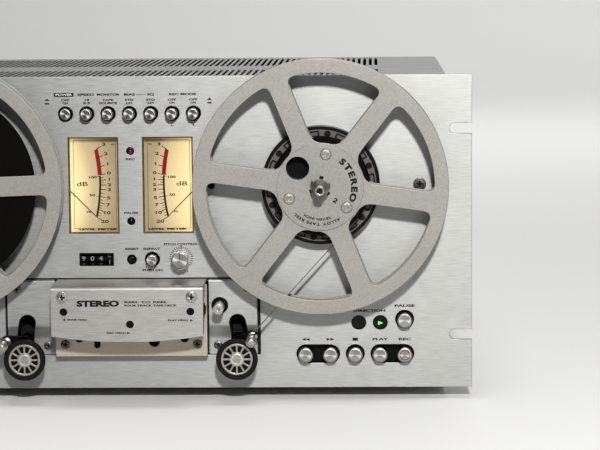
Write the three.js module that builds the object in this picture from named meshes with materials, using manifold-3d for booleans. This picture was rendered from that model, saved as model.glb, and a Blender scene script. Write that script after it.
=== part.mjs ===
// Rack-mount reel to reel tape deck, in millimetres, +Z up, front facing -Y.
// The origin is the centre of the footprint, on the surface that the feet stand on.
// Inside the deck group, y = 0 is the front face of the front panel (+y runs to the rear)
// and z = 0 is the bottom edge of the front panel.

import * as THREE from 'three';
import { mergeVertices } from 'three/addons/utils/BufferGeometryUtils.js';
import Module from 'manifold-3d';

const wasm = await Module();
wasm.setup();

// ---- driving dimensions -------------------------------------------------------------------

const PANEL_WIDTH = 480;
const PANEL_HEIGHT = 221.5;
const PANEL_THICKNESS = 4;
const FOOT_HEIGHT = 8.5;
const FRONT_REACH = 53;
const REAR_REACH = 303;

const CASE_HALF_WIDTH = 223.3;
const CASE_TOP = 220.2;
const CASE_REAR = 297;
const VENT = { rows: [[22, 103], [163, 273]], reach: 174, pitch: 21.75, halfWidth: 1.5 };
const FEET = { x: 180, front: 62, rear: 262 };
const SHEET = 1.2;
const GAP = 0.3;

const RACK_SLOT = { pitch: 146.05, height: 7.2, depth: 15.8 };

const REEL_X = 134.1;
const REEL_Z = 145.4;
const FLANGE_RADIUS = 88.9;
const FLANGE_THICKNESS = 1.4;
const FLANGE_FRONT = -28;
const FLANGE_REAR = -14.6;
const HUB_RADIUS = 28.5;
const HUB_PLATE_RADIUS = 30;
const RIM_SIDES = 48;
const SPOKE_COUNT = 6;
const SPOKE_HALF_WIDTH = 7;
const WINDOW_INNER_RADIUS = 31;
const WINDOW_OUTER_RADIUS = 79;
const WINDOW_CORNER = 5.5;
const TAPE_WIDTH = 6.3;
const TAPE_CENTRE_Y = -21;
const FULL_PACK_RADIUS = 69.5;
const SMALL_PACK_RADIUS = 34;
const REEL_BORE = 5;
const THREADING_HOLE = { x: -15.5, z: 13.4, radius: 8 };
const SUPPLY_TURN = 2;
const TAKEUP_TURN = -8;

const TABLE_RADIUS = 41.4;
const TABLE_FRONT = -14.2;
const TABLE_REAR = -3;
const SPINDLE_RADIUS = 3.95;
const LOCK_BASE = -30;
const LOCK_FINS = [22, 142, 262];

const RECESS = { halfWidth: 90.4, bottom: 23.9, top: 78.9 };
const GUIDE_PLATE = { inner: 54.6, outer: 88.4, bottom: 24.6, top: 78.2, thickness: 1.5 };
const HEAD_BASE = { halfWidth: 53.6, bottom: 24.9, top: 75.7, front: -12, rear: 5.6 };
const COVER_HOLES = [[-44, 61], [44, 61], [2, 52.1]];
const HEAD_COVER = { halfWidth: 52.7, front: -41, top: 78.4, side: 44.3, middle: 39.9, wall: 1.5 };

const SUBPANEL = { front: 6, rear: 8 };
const CAPSTAN = { x: 62.1, z: 59.8, radius: 3.7, tip: -25 };
const ARM_PIVOT = { x: 24.5, z: 35 };
const ARM_REACH = 51.5;
const ARM_PIN_RADIUS = 4;
const ARM_SLOT_WIDTH = 12;
const ROLLER = { leftX: 73.8, rightX: 75, z: 25, radius: 14.7, hub: 10 };
const PINCH = { x: 45.3, pivotZ: 46, z: 59, radius: 8 };

const TOP_KEY = { pitch: 15, z: 195.4, hole: 5.2, cap: 4.45, reach: 9 };
const TRANSPORT_KEY = { x: 157.5, pitch: 17.5, z: 24.2, hole: 6.5, cap: 5.65, reach: 8 };
const KEY_STEM = { radius: 2.4, end: 14 };
const RESET_KEY = { hole: 3.3, cap: 2.9, reach: 3 };
const KNOB_STEM = { radius: 2.9, hole: 3.4, end: 16 };
const METER = { inner: 8.6, outer: 43.9, bottom: 110.5, top: 178.7 };
const METER_CASE = { inner: 5.6, outer: 52, bottom: 107.4, top: 181.6, rear: 32, wall: 1.8, cardBack: 12 };
const NEEDLE = { pivotX: 47, pivotZ: 143.4, length: 30.5, restAngle: 45 };
const COUNTER = { y: 13.2, z: 92.2, radius: 8.6, firstX: -34.7, pitch: 6.15, wheelWidth: 5.4, digits: 4 };
const COUNTER_WINDOW = { left: -37, right: -13, bottom: 87.7, top: 96.7 };

// ---- materials ----------------------------------------------------------------------------

const brushedAluminium = { color: 0xc9c9c5, roughness: 0.35, metalness: 0.9 };
const reelAluminium = { color: 0xa7a59b, roughness: 0.45, metalness: 0.85 };
const champagneSteel = { color: 0xb3aa96, roughness: 0.4, metalness: 0.8 };
const chrome = { color: 0xd8d8d8, roughness: 0.12, metalness: 1 };
const caseGrey = { color: 0x8c8c89, roughness: 0.5, metalness: 0.5 };
const zincSteel = { color: 0x9c9e9c, roughness: 0.45, metalness: 0.8 };
const blackPlastic = { color: 0x161616, roughness: 0.5, metalness: 0 };
const blackRubber = { color: 0x111111, roughness: 0.85, metalness: 0 };
const tapeBrown = { color: 0x17130f, roughness: 0.35, metalness: 0 };
const boardGreen = { color: 0x2d5a37, roughness: 0.6, metalness: 0 };
const meterCream = { color: 0xf2d9a0, roughness: 0.6, metalness: 0 };

// ---- geometry helpers ---------------------------------------------------------------------

function solid(geometry) {
  const bare = geometry.index ? geometry.clone().toNonIndexed() : geometry.clone();
  bare.deleteAttribute('normal');
  bare.deleteAttribute('uv');
  const welded = mergeVertices(bare, 1e-4);
  const mesh = new wasm.Mesh({
    numProp: 3,
    vertProperties: new Float32Array(welded.attributes.position.array),
    triVerts: new Uint32Array(welded.index.array),
  });
  return new wasm.Manifold(mesh);
}

function geometryOf(manifold) {
  const mesh = manifold.getMesh();
  const geometry = new THREE.BufferGeometry();
  geometry.setAttribute('position', new THREE.BufferAttribute(mesh.vertProperties, 3));
  geometry.setIndex(new THREE.BufferAttribute(mesh.triVerts, 1));
  return geometry;
}

function joined(...parts) {
  return parts.map(solid).reduce((all, part) => all.add(part));
}

function cutFrom(body, ...tools) {
  return tools.map(solid).reduce((rest, tool) => rest.subtract(tool), body);
}

function box(x0, x1, y0, y1, z0, z1) {
  const geometry = new THREE.BoxGeometry(x1 - x0, y1 - y0, z1 - z0);
  return geometry.translate((x0 + x1) / 2, (y0 + y1) / 2, (z0 + z1) / 2);
}

// A round bar along Y.
function rod(x, z, radius, y0, y1, sides = 12) {
  return new THREE.CylinderGeometry(radius, radius, y1 - y0, sides).translate(x, (y0 + y1) / 2, z);
}

// A solid of revolution about the Y axis from [radius, y] pairs that close on themselves.
function turned(profile, sides = 28) {
  const points = profile.map(([radius, y]) => new THREE.Vector2(radius, y));
  return new THREE.LatheGeometry([...points, points[0].clone()], sides);
}

// A plate cut from an outline in X and Z, from y0 to y1.
function plate(shape, y0, y1, curveSegments = 6) {
  const geometry = new THREE.ExtrudeGeometry(shape, { depth: y1 - y0, bevelEnabled: false, curveSegments });
  return geometry.rotateX(Math.PI / 2).translate(0, y1, 0);
}

// A profile in Y and Z, swept along X.
function swept(points, x0, x1) {
  const shape = new THREE.Shape(points.map(([y, z]) => new THREE.Vector2(y, z)));
  const geometry = new THREE.ExtrudeGeometry(shape, { depth: x1 - x0, bevelEnabled: false });
  const axes = new THREE.Matrix4().makeBasis(
    new THREE.Vector3(0, 1, 0), new THREE.Vector3(0, 0, 1), new THREE.Vector3(1, 0, 0));
  return geometry.applyMatrix4(axes).translate(x0, 0, 0);
}

// A slot with round ends along X, cut through along Y.
function stadium(x0, x1, z, radius, y0, y1) {
  const shape = new THREE.Shape();
  shape.absarc(x1 - radius, z, radius, -Math.PI / 2, Math.PI / 2, false);
  shape.absarc(x0 + radius, z, radius, Math.PI / 2, Math.PI * 1.5, false);
  return plate(shape, y0, y1, 4);
}

// A curved slot with round ends, as wide as `width`, round a pivot.
function arcSlot(side, pivotZ, radius, width, from, to, y0, y1) {
  const shape = new THREE.Shape();
  const end = (angle) => [ARM_PIVOT.x + radius * Math.cos(angle), pivotZ + radius * Math.sin(angle)];
  const half = width / 2;
  shape.absarc(ARM_PIVOT.x, pivotZ, radius + half, from, to, false);
  shape.absarc(...end(to), half, to, to + Math.PI, false);
  shape.absarc(ARM_PIVOT.x, pivotZ, radius - half, to, from, true);
  shape.absarc(...end(from), half, from + Math.PI, from + 2 * Math.PI, false);
  const geometry = plate(shape, y0, y1, 4);
  return side > 0 ? geometry : mirroredX(geometry);
}

function mirroredX(geometry) {
  const flat = geometry.index ? geometry.toNonIndexed() : geometry;
  const position = flat.attributes.position;
  for (let corner = 0; corner < position.count; corner += 3) {
    const swap = [0, 1, 2].map((k) => [position.getX(corner + k), position.getY(corner + k),
      position.getZ(corner + k)]);
    swap.reverse().forEach(([x, y, z], k) => position.setXYZ(corner + k, -x, y, z));
  }
  return flat;
}

function rad(degrees) {
  return (degrees * Math.PI) / 180;
}

const deck = new THREE.Group();
deck.position.set(0, FRONT_REACH - (FRONT_REACH + REAR_REACH) / 2, FOOT_HEIGHT);

function add(name, shape, finish, x = 0, y = 0, z = 0) {
  const geometry = shape.isBufferGeometry ? shape : geometryOf(shape);
  const mesh = new THREE.Mesh(geometry, new THREE.MeshStandardMaterial(finish));
  mesh.name = name;
  mesh.position.set(x, y, z);
  deck.add(mesh);
  return mesh;
}

// ---- controls: where each button and knob stands --------------------------------------------

const topKeys = ['power', 'speed', 'monitor', 'bias', 'eq', 'left_rec', 'right_rec']
  .map((name, i) => ({ name, x: (i - 3) * TOP_KEY.pitch, z: TOP_KEY.z, reach: i === 0 ? 5 : TOP_KEY.reach }));

const transportKeys = ['rewind', 'fast_forward', 'stop', 'play', 'record']
  .map((name, i) => ({ name, x: TRANSPORT_KEY.x + (i - 2) * TRANSPORT_KEY.pitch, z: TRANSPORT_KEY.z }));
transportKeys.push({ name: 'pause', x: 192.5, z: 48.7 });

const repeatKey = { name: 'repeat', x: 14.6, z: 92.3 };
const resetKey = { name: 'reset', x: 0, z: 92.2 };

const knobs = [
  { name: 'pitch_knob', x: 35, z: 92.8, radius: 6.3, reach: 14 },
  { name: 'record_level_knob', x: -130, z: 33, radius: 13, reach: 17 },
  { name: 'output_level_knob', x: -168, z: 33, radius: 9.5, reach: 16 },
];

const jacks = [[-195, 38.5], [-195, 20], [-213, 20]];
const lamps = [[0, 169], [0, 119.4]];
const directionWindows = [160.1, 175.3];
const tapeSensors = [-56.8, 56.8];

// ---- front panel ----------------------------------------------------------------------------

function panelHoles() {
  const y0 = -1;
  const y1 = PANEL_THICKNESS + 1;
  const holes = [box(-RECESS.halfWidth, RECESS.halfWidth, y0, y1, RECESS.bottom, RECESS.top)];
  for (const side of [-1, 1]) {
    const meterX = [side * METER.inner, side * METER.outer].sort((a, b) => a - b);
    holes.push(box(meterX[0], meterX[1], y0, y1, METER.bottom, METER.top));
    holes.push(rod(side * REEL_X, REEL_Z, 12, y0, y1, 20));
    for (const step of [-1, 1]) {
      const z = PANEL_HEIGHT / 2 + (step * RACK_SLOT.pitch) / 2;
      const inner = PANEL_WIDTH / 2 - RACK_SLOT.depth;
      const slot = [side * inner, side * (inner + 2 * RACK_SLOT.depth)].sort((a, b) => a - b);
      holes.push(stadium(slot[0], slot[1], z, RACK_SLOT.height / 2, y0, y1));
    }
  }
  for (const key of [...topKeys, repeatKey]) {
    holes.push(rod(key.x, key.z, TOP_KEY.hole, y0, y1));
  }
  const last = transportKeys.length - 1;
  for (const key of [transportKeys[2], transportKeys[last]]) {
    holes.push(rod(key.x, key.z, TRANSPORT_KEY.hole, y0, y1));
  }
  for (const pair of [[0, 1], [3, 4]]) {
    const x0 = transportKeys[pair[0]].x - TRANSPORT_KEY.hole;
    const x1 = transportKeys[pair[1]].x + TRANSPORT_KEY.hole;
    holes.push(stadium(x0, x1, TRANSPORT_KEY.z, TRANSPORT_KEY.hole, y0, y1));
  }
  holes.push(rod(resetKey.x, resetKey.z, RESET_KEY.hole, y0, y1, 12));
  const window = COUNTER_WINDOW;
  holes.push(box(window.left, window.right, y0, y1, window.bottom, window.top));
  for (const knob of knobs) holes.push(rod(knob.x, knob.z, KNOB_STEM.hole, y0, y1, 12));
  for (const [x, z] of jacks) holes.push(rod(x, z, 3.6, y0, y1, 12));
  for (const [x, z] of lamps) holes.push(rod(x, z, 2.7, y0, y1, 12));
  for (const x of directionWindows) holes.push(rod(x, 46.4, 5.1, y0, y1, 12));
  for (const x of tapeSensors) holes.push(rod(x, 144.4, 2.5, y0, y1, 12));
  return holes;
}

function frontPanel() {
  const blank = box(-PANEL_WIDTH / 2, PANEL_WIDTH / 2, 0, PANEL_THICKNESS, 0, PANEL_HEIGHT);
  return cutFrom(solid(blank), ...panelHoles());
}

// ---- casework: tray with sub-panel, bonnet, rear panel, feet ----------------------------------

function chassis() {
  const width = CASE_HALF_WIDTH - SHEET - GAP * 2;
  const rear = CASE_REAR - 2 - GAP;
  const body = joined(
    box(-width, width, SUBPANEL.front, rear, 1.5, 3.5),
    box(-width, -width + 2, SUBPANEL.front, rear, 1.5, 70),
    box(width - 2, width, SUBPANEL.front, rear, 1.5, 70),
    box(-width, width, SUBPANEL.front, SUBPANEL.rear, 1.5, 216),
  );
  const y0 = SUBPANEL.front - 1;
  const y1 = SUBPANEL.rear + 1;
  const openings = [
    box(-56, 56, y0, y1, 187, 204),
    box(-41, 56, y0, y1, 81, 104),
    box(114, 202, y0, y1, 14, 58),
    box(-218, -112, y0, y1, 14, 46),
    rod(CAPSTAN.x, CAPSTAN.z, 6, y0, y1),
    ...[-1, 1].flatMap((side) => [
      box(...(side < 0 ? [-53, -5] : [5, 53]), y0, y1, 107, 182),
      rod(side * REEL_X, REEL_Z, 14, y0, y1, 16),
      rod(side * ARM_PIVOT.x, ARM_PIVOT.z, 3.4, y0, y1, 10),
      arcSlot(side, ARM_PIVOT.z, ARM_REACH, ARM_SLOT_WIDTH, rad(-8), rad(14.2), y0, y1),
    ]),
  ];
  return cutFrom(body, ...openings);
}

function topCover() {
  const outer = CASE_HALF_WIDTH;
  const front = PANEL_THICKNESS + GAP;
  const shell = joined(
    box(-outer, outer, front, CASE_REAR, CASE_TOP - SHEET, CASE_TOP),
    box(-outer, -outer + SHEET, front, CASE_REAR, 2, CASE_TOP),
    box(outer - SHEET, outer, front, CASE_REAR, 2, CASE_TOP),
  );
  const slots = [];
  for (const [y0, y1] of VENT.rows) {
    for (let x = -VENT.reach; x <= VENT.reach; x += VENT.pitch) {
      slots.push(box(x - VENT.halfWidth, x + VENT.halfWidth, y0, y1, CASE_TOP - 3, CASE_TOP + 1));
    }
  }
  return cutFrom(shell, ...slots);
}

function rearPanel() {
  const half = CASE_HALF_WIDTH - SHEET - GAP;
  const y0 = CASE_REAR - 2;
  const y1 = CASE_REAR;
  const jackBlock = box(40, 150, y1 - 0.5, y1 + 2, 20, 70);
  const sockets = [];
  for (let column = 0; column < 4; column += 1) {
    for (const z of [32, 56]) sockets.push(rod(55 + column * 26, z, 4.2, y1, REAR_REACH, 10));
  }
  const inlet = box(-180, -146, y1 - 0.5, y1 + 4, 22, 48);
  const body = joined(box(-half, half, y0, y1, 4, CASE_TOP - SHEET - GAP), jackBlock, inlet, ...sockets);
  return cutFrom(body, box(-176, -150, y1 - 12, y1 + 6, 26, 44));
}

function foot() {
  return turned([[0, 0], [12, 0], [14, 2], [15, 9.5], [0, 9.5]], 20).rotateX(Math.PI / 2);
}

// ---- things inside ------------------------------------------------------------------------------

function transformer() {
  return joined(
    box(-205, -125, 190, 200, 12, 82),
    box(-195, -135, 200.0, 250, 5, 90),
    box(-205, -125, 250, 260, 12, 82),
    box(-200, -130, 199, 251, 20, 74),
  );
}

function circuitBoard() {
  const pieces = [box(-90, 205, 110, 280, 14, 15.6)];
  for (let i = 0; i < 5; i += 1) {
    pieces.push(new THREE.CylinderGeometry(7, 7, 26, 12).rotateX(Math.PI / 2).translate(-60 + i * 22, 250, 28));
    pieces.push(box(-70 + i * 50, -52 + i * 50, 150, 157, 15, 19));
  }
  for (let i = 0; i < 3; i += 1) {
    pieces.push(box(80 + i * 34, 100 + i * 34, 200, 240, 15, 40));
  }
  return joined(...pieces);
}

function reelMotor() {
  return turned([
    [4.5, 8.4], [22, 8.4], [22, 14], [47, 14], [47, 64], [18, 64], [18, 70], [0, 70], [0, 55], [4.5, 55],
  ], 20);
}

function capstanMotor() {
  return turned([
    [4.2, 20], [30, 20], [36, 26], [36, 56], [0, 56], [0, 48], [4.2, 48],
  ], 20);
}

function capstan() {
  return turned([
    [0, CAPSTAN.tip], [CAPSTAN.radius, CAPSTAN.tip], [CAPSTAN.radius, 46], [0, 46],
  ], 20);
}

// ---- transport deck: guide plates, head base, heads, head cover ----------------------------------

function guidePlate(side) {
  const p = GUIDE_PLATE;
  const t = p.thickness;
  const outline = [
    [5.6, p.top], [-4, p.top], [-4, 45], [-1, 37], [-1, p.bottom], [-1 + t, p.bottom],
    [-1 + t, 37], [-4 + t, 45], [-4 + t, p.top - t], [5.6, p.top - t],
  ];
  const x = [side * p.inner, side * p.outer].sort((a, b) => a - b);
  const cuts = [arcSlot(side, ARM_PIVOT.z, ARM_REACH, ARM_SLOT_WIDTH, rad(-8), rad(14.2), -6, 3)];
  if (side > 0) cuts.push(rod(CAPSTAN.x, CAPSTAN.z, 5.95, -6, 3, 18));
  return cutFrom(solid(swept(outline, x[0], x[1])), ...cuts);
}

function headBase() {
  const b = HEAD_BASE;
  const block = solid(box(-b.halfWidth, b.halfWidth, b.front, b.rear, b.bottom, b.top));
  return cutFrom(block, box(-b.halfWidth + 2, b.halfWidth - 2, b.front + 3, b.rear + 1, b.bottom + 2, b.top - 2));
}

function head(width, height, depth) {
  const half = width / 2;
  return joined(
    box(-half, half, HEAD_BASE.front - depth, HEAD_BASE.front - GAP, -height / 2, height / 2),
    turned([[0, HEAD_BASE.front - depth + 1], [half - 0.5, HEAD_BASE.front - depth + 1],
      [half - 0.5, HEAD_BASE.front - 1], [0, HEAD_BASE.front - 1]], 16).translate(0, 0, -height / 2),
  );
}

function headCover() {
  const c = HEAD_COVER;
  const face = new THREE.Shape();
  face.moveTo(-c.halfWidth, c.side);
  face.bezierCurveTo(-30, c.middle, -12, c.middle, 0, c.middle);
  face.bezierCurveTo(12, c.middle, 30, c.middle, c.halfWidth, c.side);
  face.lineTo(c.halfWidth, c.top - 1.5);
  face.lineTo(c.halfWidth - 1.5, c.top);
  face.lineTo(-c.halfWidth + 1.5, c.top);
  face.lineTo(-c.halfWidth, c.top - 1.5);
  const back = HEAD_BASE.front - GAP;
  const parts = [
    plate(face, c.front, c.front + c.wall, 8),
    box(-c.halfWidth + 1.5, c.halfWidth - 1.5, c.front + 0.5, -0.5, c.top - c.wall, c.top),
  ];
  for (const side of [-1, 1]) {
    const x = [side * c.halfWidth, side * (c.halfWidth - c.wall)].sort((a, b) => a - b);
    parts.push(box(x[0], x[1], c.front + 0.5, -30, c.side + 0.5, c.top - 1.5));
    parts.push(box(x[0], x[1], c.front + 0.5, back, 70, c.top - 1.5));
    parts.push(box(x[0], x[1], c.front + 0.5, back, 70, c.top - 0.75));
  }
  const holes = COVER_HOLES.map(([x, z]) => rod(x, z, 2.7, c.front - 1, c.front + 3, 12));
  return cutFrom(joined(...parts), ...holes);
}

function pinchArm() {
  const y0 = HEAD_BASE.front - 2.8;
  const y1 = HEAD_BASE.front - GAP;
  return joined(
    rod(0, 0, 4, y0, y1),
    box(-3, 3, y0, y1, 0, PINCH.z - PINCH.pivotZ),
    rod(0, PINCH.z - PINCH.pivotZ, 3, y0, y1),
    rod(0, PINCH.z - PINCH.pivotZ, 1.6, -29, y1, 10),
  );
}

function pinchRoller() {
  return turned([[2, -28], [PINCH.radius, -28], [PINCH.radius, -15.2], [2, -15.2]], 24);
}

// ---- tension arms and their rollers ----------------------------------------------------------------

function tensionArm(side, rollerX, post) {
  const pin = [ARM_REACH, 0];
  const roller = [rollerX - ARM_PIVOT.x, ROLLER.z - ARM_PIVOT.z];
  const lever = (from, to, half, y0, y1) => {
    const angle = Math.atan2(to[1] - from[1], to[0] - from[0]);
    const shape = new THREE.Shape();
    shape.absarc(...to, half, angle - Math.PI / 2, angle + Math.PI / 2, false);
    shape.absarc(...from, half, angle + Math.PI / 2, angle + Math.PI * 1.5, false);
    return plate(shape, y0, y1, 3);
  };
  const parts = [
    rod(0, 0, 3, SUBPANEL.front + 0.3, 16, 10),
    rod(0, 0, 7, SUBPANEL.rear + GAP, 16),
    lever([0, 0], pin, 4.5, SUBPANEL.rear + GAP, SUBPANEL.rear + 3),
    rod(...pin, ARM_PIN_RADIUS, -8, SUBPANEL.rear + 2, 12),
    lever(pin, roller, 4.5, -10.5, -7.5),
    lever(pin, post, 4.5, -10.5, -7.5),
    rod(...roller, 2, -26, -8, 12),
    rod(...post, 1.9, -34, -8, 12),
    rod(...post, 4.4, -37.5, -28.4, 16),
  ];
  const arm = parts.map((part) => (side > 0 ? part : mirroredX(part)));
  return joined(...arm);
}

function tapeRoller() {
  const r = ROLLER.radius;
  return turned([
    [2.3, -15], [12.5, -15], [12.5, -16.5], [ROLLER.hub, -16.5], [ROLLER.hub, -24.8], [r, -24.8],
    [r, -27.8], [0, -27.8], [0, -26.3], [2.3, -26.3],
  ].reverse(), 22);
}

// ---- reels, reel tables and spindle locks ------------------------------------------------------------

// One window between two spokes, turned to `middle` radians, as a hole in a flange.
function flangeWindow(middle) {
  const half = (radius) => Math.PI / SPOKE_COUNT - Math.asin(SPOKE_HALF_WIDTH / radius);
  const c = WINDOW_CORNER;
  const point = (radius, angle) => new THREE.Vector2(radius * Math.cos(angle), radius * Math.sin(angle));
  const rOut = WINDOW_OUTER_RADIUS;
  const rIn = WINDOW_INNER_RADIUS;
  const path = new THREE.Path();
  const trim = (radius) => c / radius;
  const corner = (radius, side) => point(radius, middle + side * half(radius));
  path.moveTo(...point(rOut, middle - half(rOut) + trim(rOut)).toArray());
  path.absarc(0, 0, rOut, middle - half(rOut) + trim(rOut), middle + half(rOut) - trim(rOut), false);
  path.quadraticCurveTo(...corner(rOut, 1).toArray(), ...corner(rOut - c, 1).toArray());
  path.lineTo(...corner(rIn + c, 1).toArray());
  path.quadraticCurveTo(...corner(rIn, 1).toArray(), ...point(rIn, middle + half(rIn) - trim(rIn)).toArray());
  path.absarc(0, 0, rIn, middle + half(rIn) - trim(rIn), middle - half(rIn) + trim(rIn), true);
  path.quadraticCurveTo(...corner(rIn, -1).toArray(), ...corner(rIn + c, -1).toArray());
  path.lineTo(...corner(rOut - c, -1).toArray());
  path.quadraticCurveTo(...corner(rOut, -1).toArray(),
    ...point(rOut, middle - half(rOut) + trim(rOut)).toArray());
  return path;
}

function flange(turn, y0, y1) {
  const rim = Array.from({ length: RIM_SIDES }, (_, i) => new THREE.Vector2(FLANGE_RADIUS, 0)
    .rotateAround(new THREE.Vector2(), (i * 2 * Math.PI) / RIM_SIDES));
  const shape = new THREE.Shape(rim);
  for (let i = 0; i < SPOKE_COUNT; i += 1) {
    shape.holes.push(flangeWindow(rad(turn + 30 + i * 60)));
  }
  const geometry = new THREE.ExtrudeGeometry(shape, { depth: y1 - y0, bevelEnabled: false, curveSegments: 2 });
  return geometry.rotateX(Math.PI / 2).translate(0, y1, 0);
}

// The spindle bore and the hole for threading the tape, which stops inside the hub.
function reelHoles(y1) {
  const hole = THREADING_HOLE;
  const bore = rod(0, 0, REEL_BORE, FLANGE_FRONT - 5, y1, 16);
  return [bore, rod(hole.x, hole.z, hole.radius, FLANGE_FRONT - 5, Math.min(y1, -18), 14)];
}

function frontFlange(turn) {
  const y1 = FLANGE_FRONT + FLANGE_THICKNESS;
  const body = joined(
    flange(turn, FLANGE_FRONT, y1),
    rod(0, 0, HUB_PLATE_RADIUS, FLANGE_FRONT - 1, y1, 24),
  );
  return cutFrom(body, ...reelHoles(-20));
}

function rearFlange(turn) {
  const y0 = FLANGE_REAR - FLANGE_THICKNESS;
  const body = joined(
    flange(turn, y0, FLANGE_REAR),
    rod(0, 0, HUB_RADIUS, FLANGE_FRONT + FLANGE_THICKNESS + GAP, FLANGE_REAR, 24),
  );
  return cutFrom(body, ...reelHoles(-10));
}

function tapePack(radius) {
  const y0 = TAPE_CENTRE_Y - TAPE_WIDTH / 2;
  const y1 = TAPE_CENTRE_Y + TAPE_WIDTH / 2;
  const inner = HUB_RADIUS + GAP;
  return turned([[inner, y0], [radius, y0], [radius, y1], [inner, y1]], 40);
}

function reelTable() {
  return turned([
    [0, LOCK_BASE + GAP], [SPINDLE_RADIUS, LOCK_BASE + GAP], [SPINDLE_RADIUS, TABLE_FRONT],
    [TABLE_RADIUS, TABLE_FRONT], [TABLE_RADIUS, TABLE_REAR], [11, TABLE_REAR], [11, 5], [4, 5],
    [4, 50], [0, 50],
  ], 28);
}

function spindleLock() {
  const core = turned([
    [0, LOCK_BASE], [6.4, LOCK_BASE], [6.4, -38], [3.6, -42], [3.6, -FRONT_REACH], [2, -FRONT_REACH],
    [2, -FRONT_REACH + 5], [0, -FRONT_REACH + 5],
  ].reverse(), 16);
  const fins = LOCK_FINS.map((angle) => box(3, 7.6, -38, LOCK_BASE, -1, 1).rotateY(-rad(angle)));
  return joined(core, ...fins);
}

// ---- meters, counter, buttons and knobs ----------------------------------------------------------------

function meter(side) {
  const front = PANEL_THICKNESS + GAP;
  const c = METER_CASE;
  const x = [side * c.inner, side * c.outer].sort((a, b) => a - b);
  const housing = solid(box(x[0], x[1], front, c.rear, c.bottom, c.top));
  const inside = box(x[0] + c.wall, x[1] - c.wall, front - 1, c.cardBack, c.bottom + c.wall, c.top - c.wall);
  return cutFrom(housing, inside);
}

function needle(side) {
  const bar = joined(
    rod(0, 0, 2.4, 8, 11.6, 12),
    box(0, NEEDLE.length, 8.4, 9, -0.5, 0.5),
  );
  const turn = side < 0 ? rad(NEEDLE.restAngle) : rad(180 - NEEDLE.restAngle);
  return geometryOf(bar).rotateY(turn);
}

function counterWheels() {
  const parts = [];
  const c = COUNTER;
  for (let digit = 0; digit < c.digits; digit += 1) {
    const wheel = new THREE.CylinderGeometry(c.radius, c.radius, c.wheelWidth, 14).rotateZ(Math.PI / 2);
    parts.push(wheel.translate(c.firstX + digit * c.pitch, 0, 0));
  }
  parts.push(new THREE.CylinderGeometry(7.6, 7.6, 23.4, 10).rotateZ(Math.PI / 2).translate(-25, 0, 0));
  return joined(...parts);
}

function button(capRadius, reach) {
  return turned([
    [0, -reach], [capRadius, -reach], [capRadius, 1.5], [KEY_STEM.radius, 1.5], [KEY_STEM.radius, KEY_STEM.end],
    [0, KEY_STEM.end],
  ], 12);
}

function knob(radius, reach) {
  return turned([
    [0, -reach], [radius, -reach], [radius, -1], [KNOB_STEM.radius, -1], [KNOB_STEM.radius, KNOB_STEM.end],
    [0, KNOB_STEM.end],
  ], 20);
}

// ---- assembly ---------------------------------------------------------------------------------------------

add('front_panel', frontPanel(), brushedAluminium);
add('chassis', chassis(), zincSteel);
add('top_cover', topCover(), caseGrey);
add('rear_panel', rearPanel(), caseGrey);

for (const [end, y] of [['front', FEET.front], ['rear', FEET.rear]]) {
  add(`foot_${end}_left`, foot(), blackRubber, -FEET.x, y, -FOOT_HEIGHT);
  add(`foot_${end}_right`, foot(), blackRubber, FEET.x, y, -FOOT_HEIGHT);
}

add('power_transformer', transformer(), zincSteel);
add('circuit_board', circuitBoard(), boardGreen);
add('capstan_motor', capstanMotor(), zincSteel, CAPSTAN.x, 0, CAPSTAN.z);
add('capstan', capstan(), chrome, CAPSTAN.x, 0, CAPSTAN.z);

add('head_base', headBase(), champagneSteel);
add('head_cover', headCover(), brushedAluminium);
for (const [name, x, width] of [['erase_head', -33, 10], ['record_head', -12, 14], ['play_head', 10, 14]]) {
  add(name, head(width, 13, 22), chrome, x, 0, 57);
}
add('pinch_arm', pinchArm(), zincSteel, PINCH.x, 0, PINCH.pivotZ);
add('pinch_roller', pinchRoller(), blackRubber, PINCH.x, 0, PINCH.z);

for (const [name, side, rollerX, post] of [['left', -1, ROLLER.leftX, [64.1, 0.2]],
  ['right', 1, ROLLER.rightX, [60.9, 3.5]]]) {
  add(`${name}_guide_plate`, guidePlate(side), brushedAluminium);
  add(`${name}_tension_arm`, tensionArm(side, rollerX, post), blackPlastic, side * ARM_PIVOT.x, 0, ARM_PIVOT.z);
  add(`${name}_roller`, tapeRoller(), blackRubber, side * rollerX, 0, ROLLER.z);
  add(`${name}_meter`, meter(side), meterCream);
  add(`${name}_needle`, needle(side), blackPlastic, side * NEEDLE.pivotX, 0, NEEDLE.pivotZ);
}

for (const [name, side, turn, pack] of [['supply', -1, SUPPLY_TURN, FULL_PACK_RADIUS],
  ['takeup', 1, TAKEUP_TURN, SMALL_PACK_RADIUS]]) {
  const at = [side * REEL_X, 0, REEL_Z];
  add(`${name}_motor`, reelMotor(), zincSteel, ...at);
  add(`${name}_table`, reelTable(), blackPlastic, ...at);
  add(`${name}_lock`, spindleLock(), chrome, ...at);
  add(`${name}_front_flange`, frontFlange(turn), reelAluminium, ...at);
  add(`${name}_rear_flange`, rearFlange(turn), reelAluminium, ...at);
  add(`${name}_tape_pack`, tapePack(pack), tapeBrown, ...at);
}

add('counter_wheels', counterWheels(), blackPlastic, 0, COUNTER.y, COUNTER.z);

for (const key of topKeys) {
  add(`${key.name}_button`, button(TOP_KEY.cap, key.reach), chrome, key.x, 0, key.z);
}
add('repeat_button', button(TOP_KEY.cap, TOP_KEY.reach), chrome, repeatKey.x, 0, repeatKey.z);
add('reset_button', button(RESET_KEY.cap, RESET_KEY.reach), blackPlastic, resetKey.x, 0, resetKey.z);
for (const key of transportKeys) {
  add(`${key.name}_button`, button(TRANSPORT_KEY.cap, TRANSPORT_KEY.reach), chrome, key.x, 0, key.z);
}
for (const { name, x, z, radius, reach } of knobs) {
  add(name, knob(radius, reach), chrome, x, 0, z);
}

export default deck;
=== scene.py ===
import math

import bmesh
import bpy
from mathutils import Matrix, Vector


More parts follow.
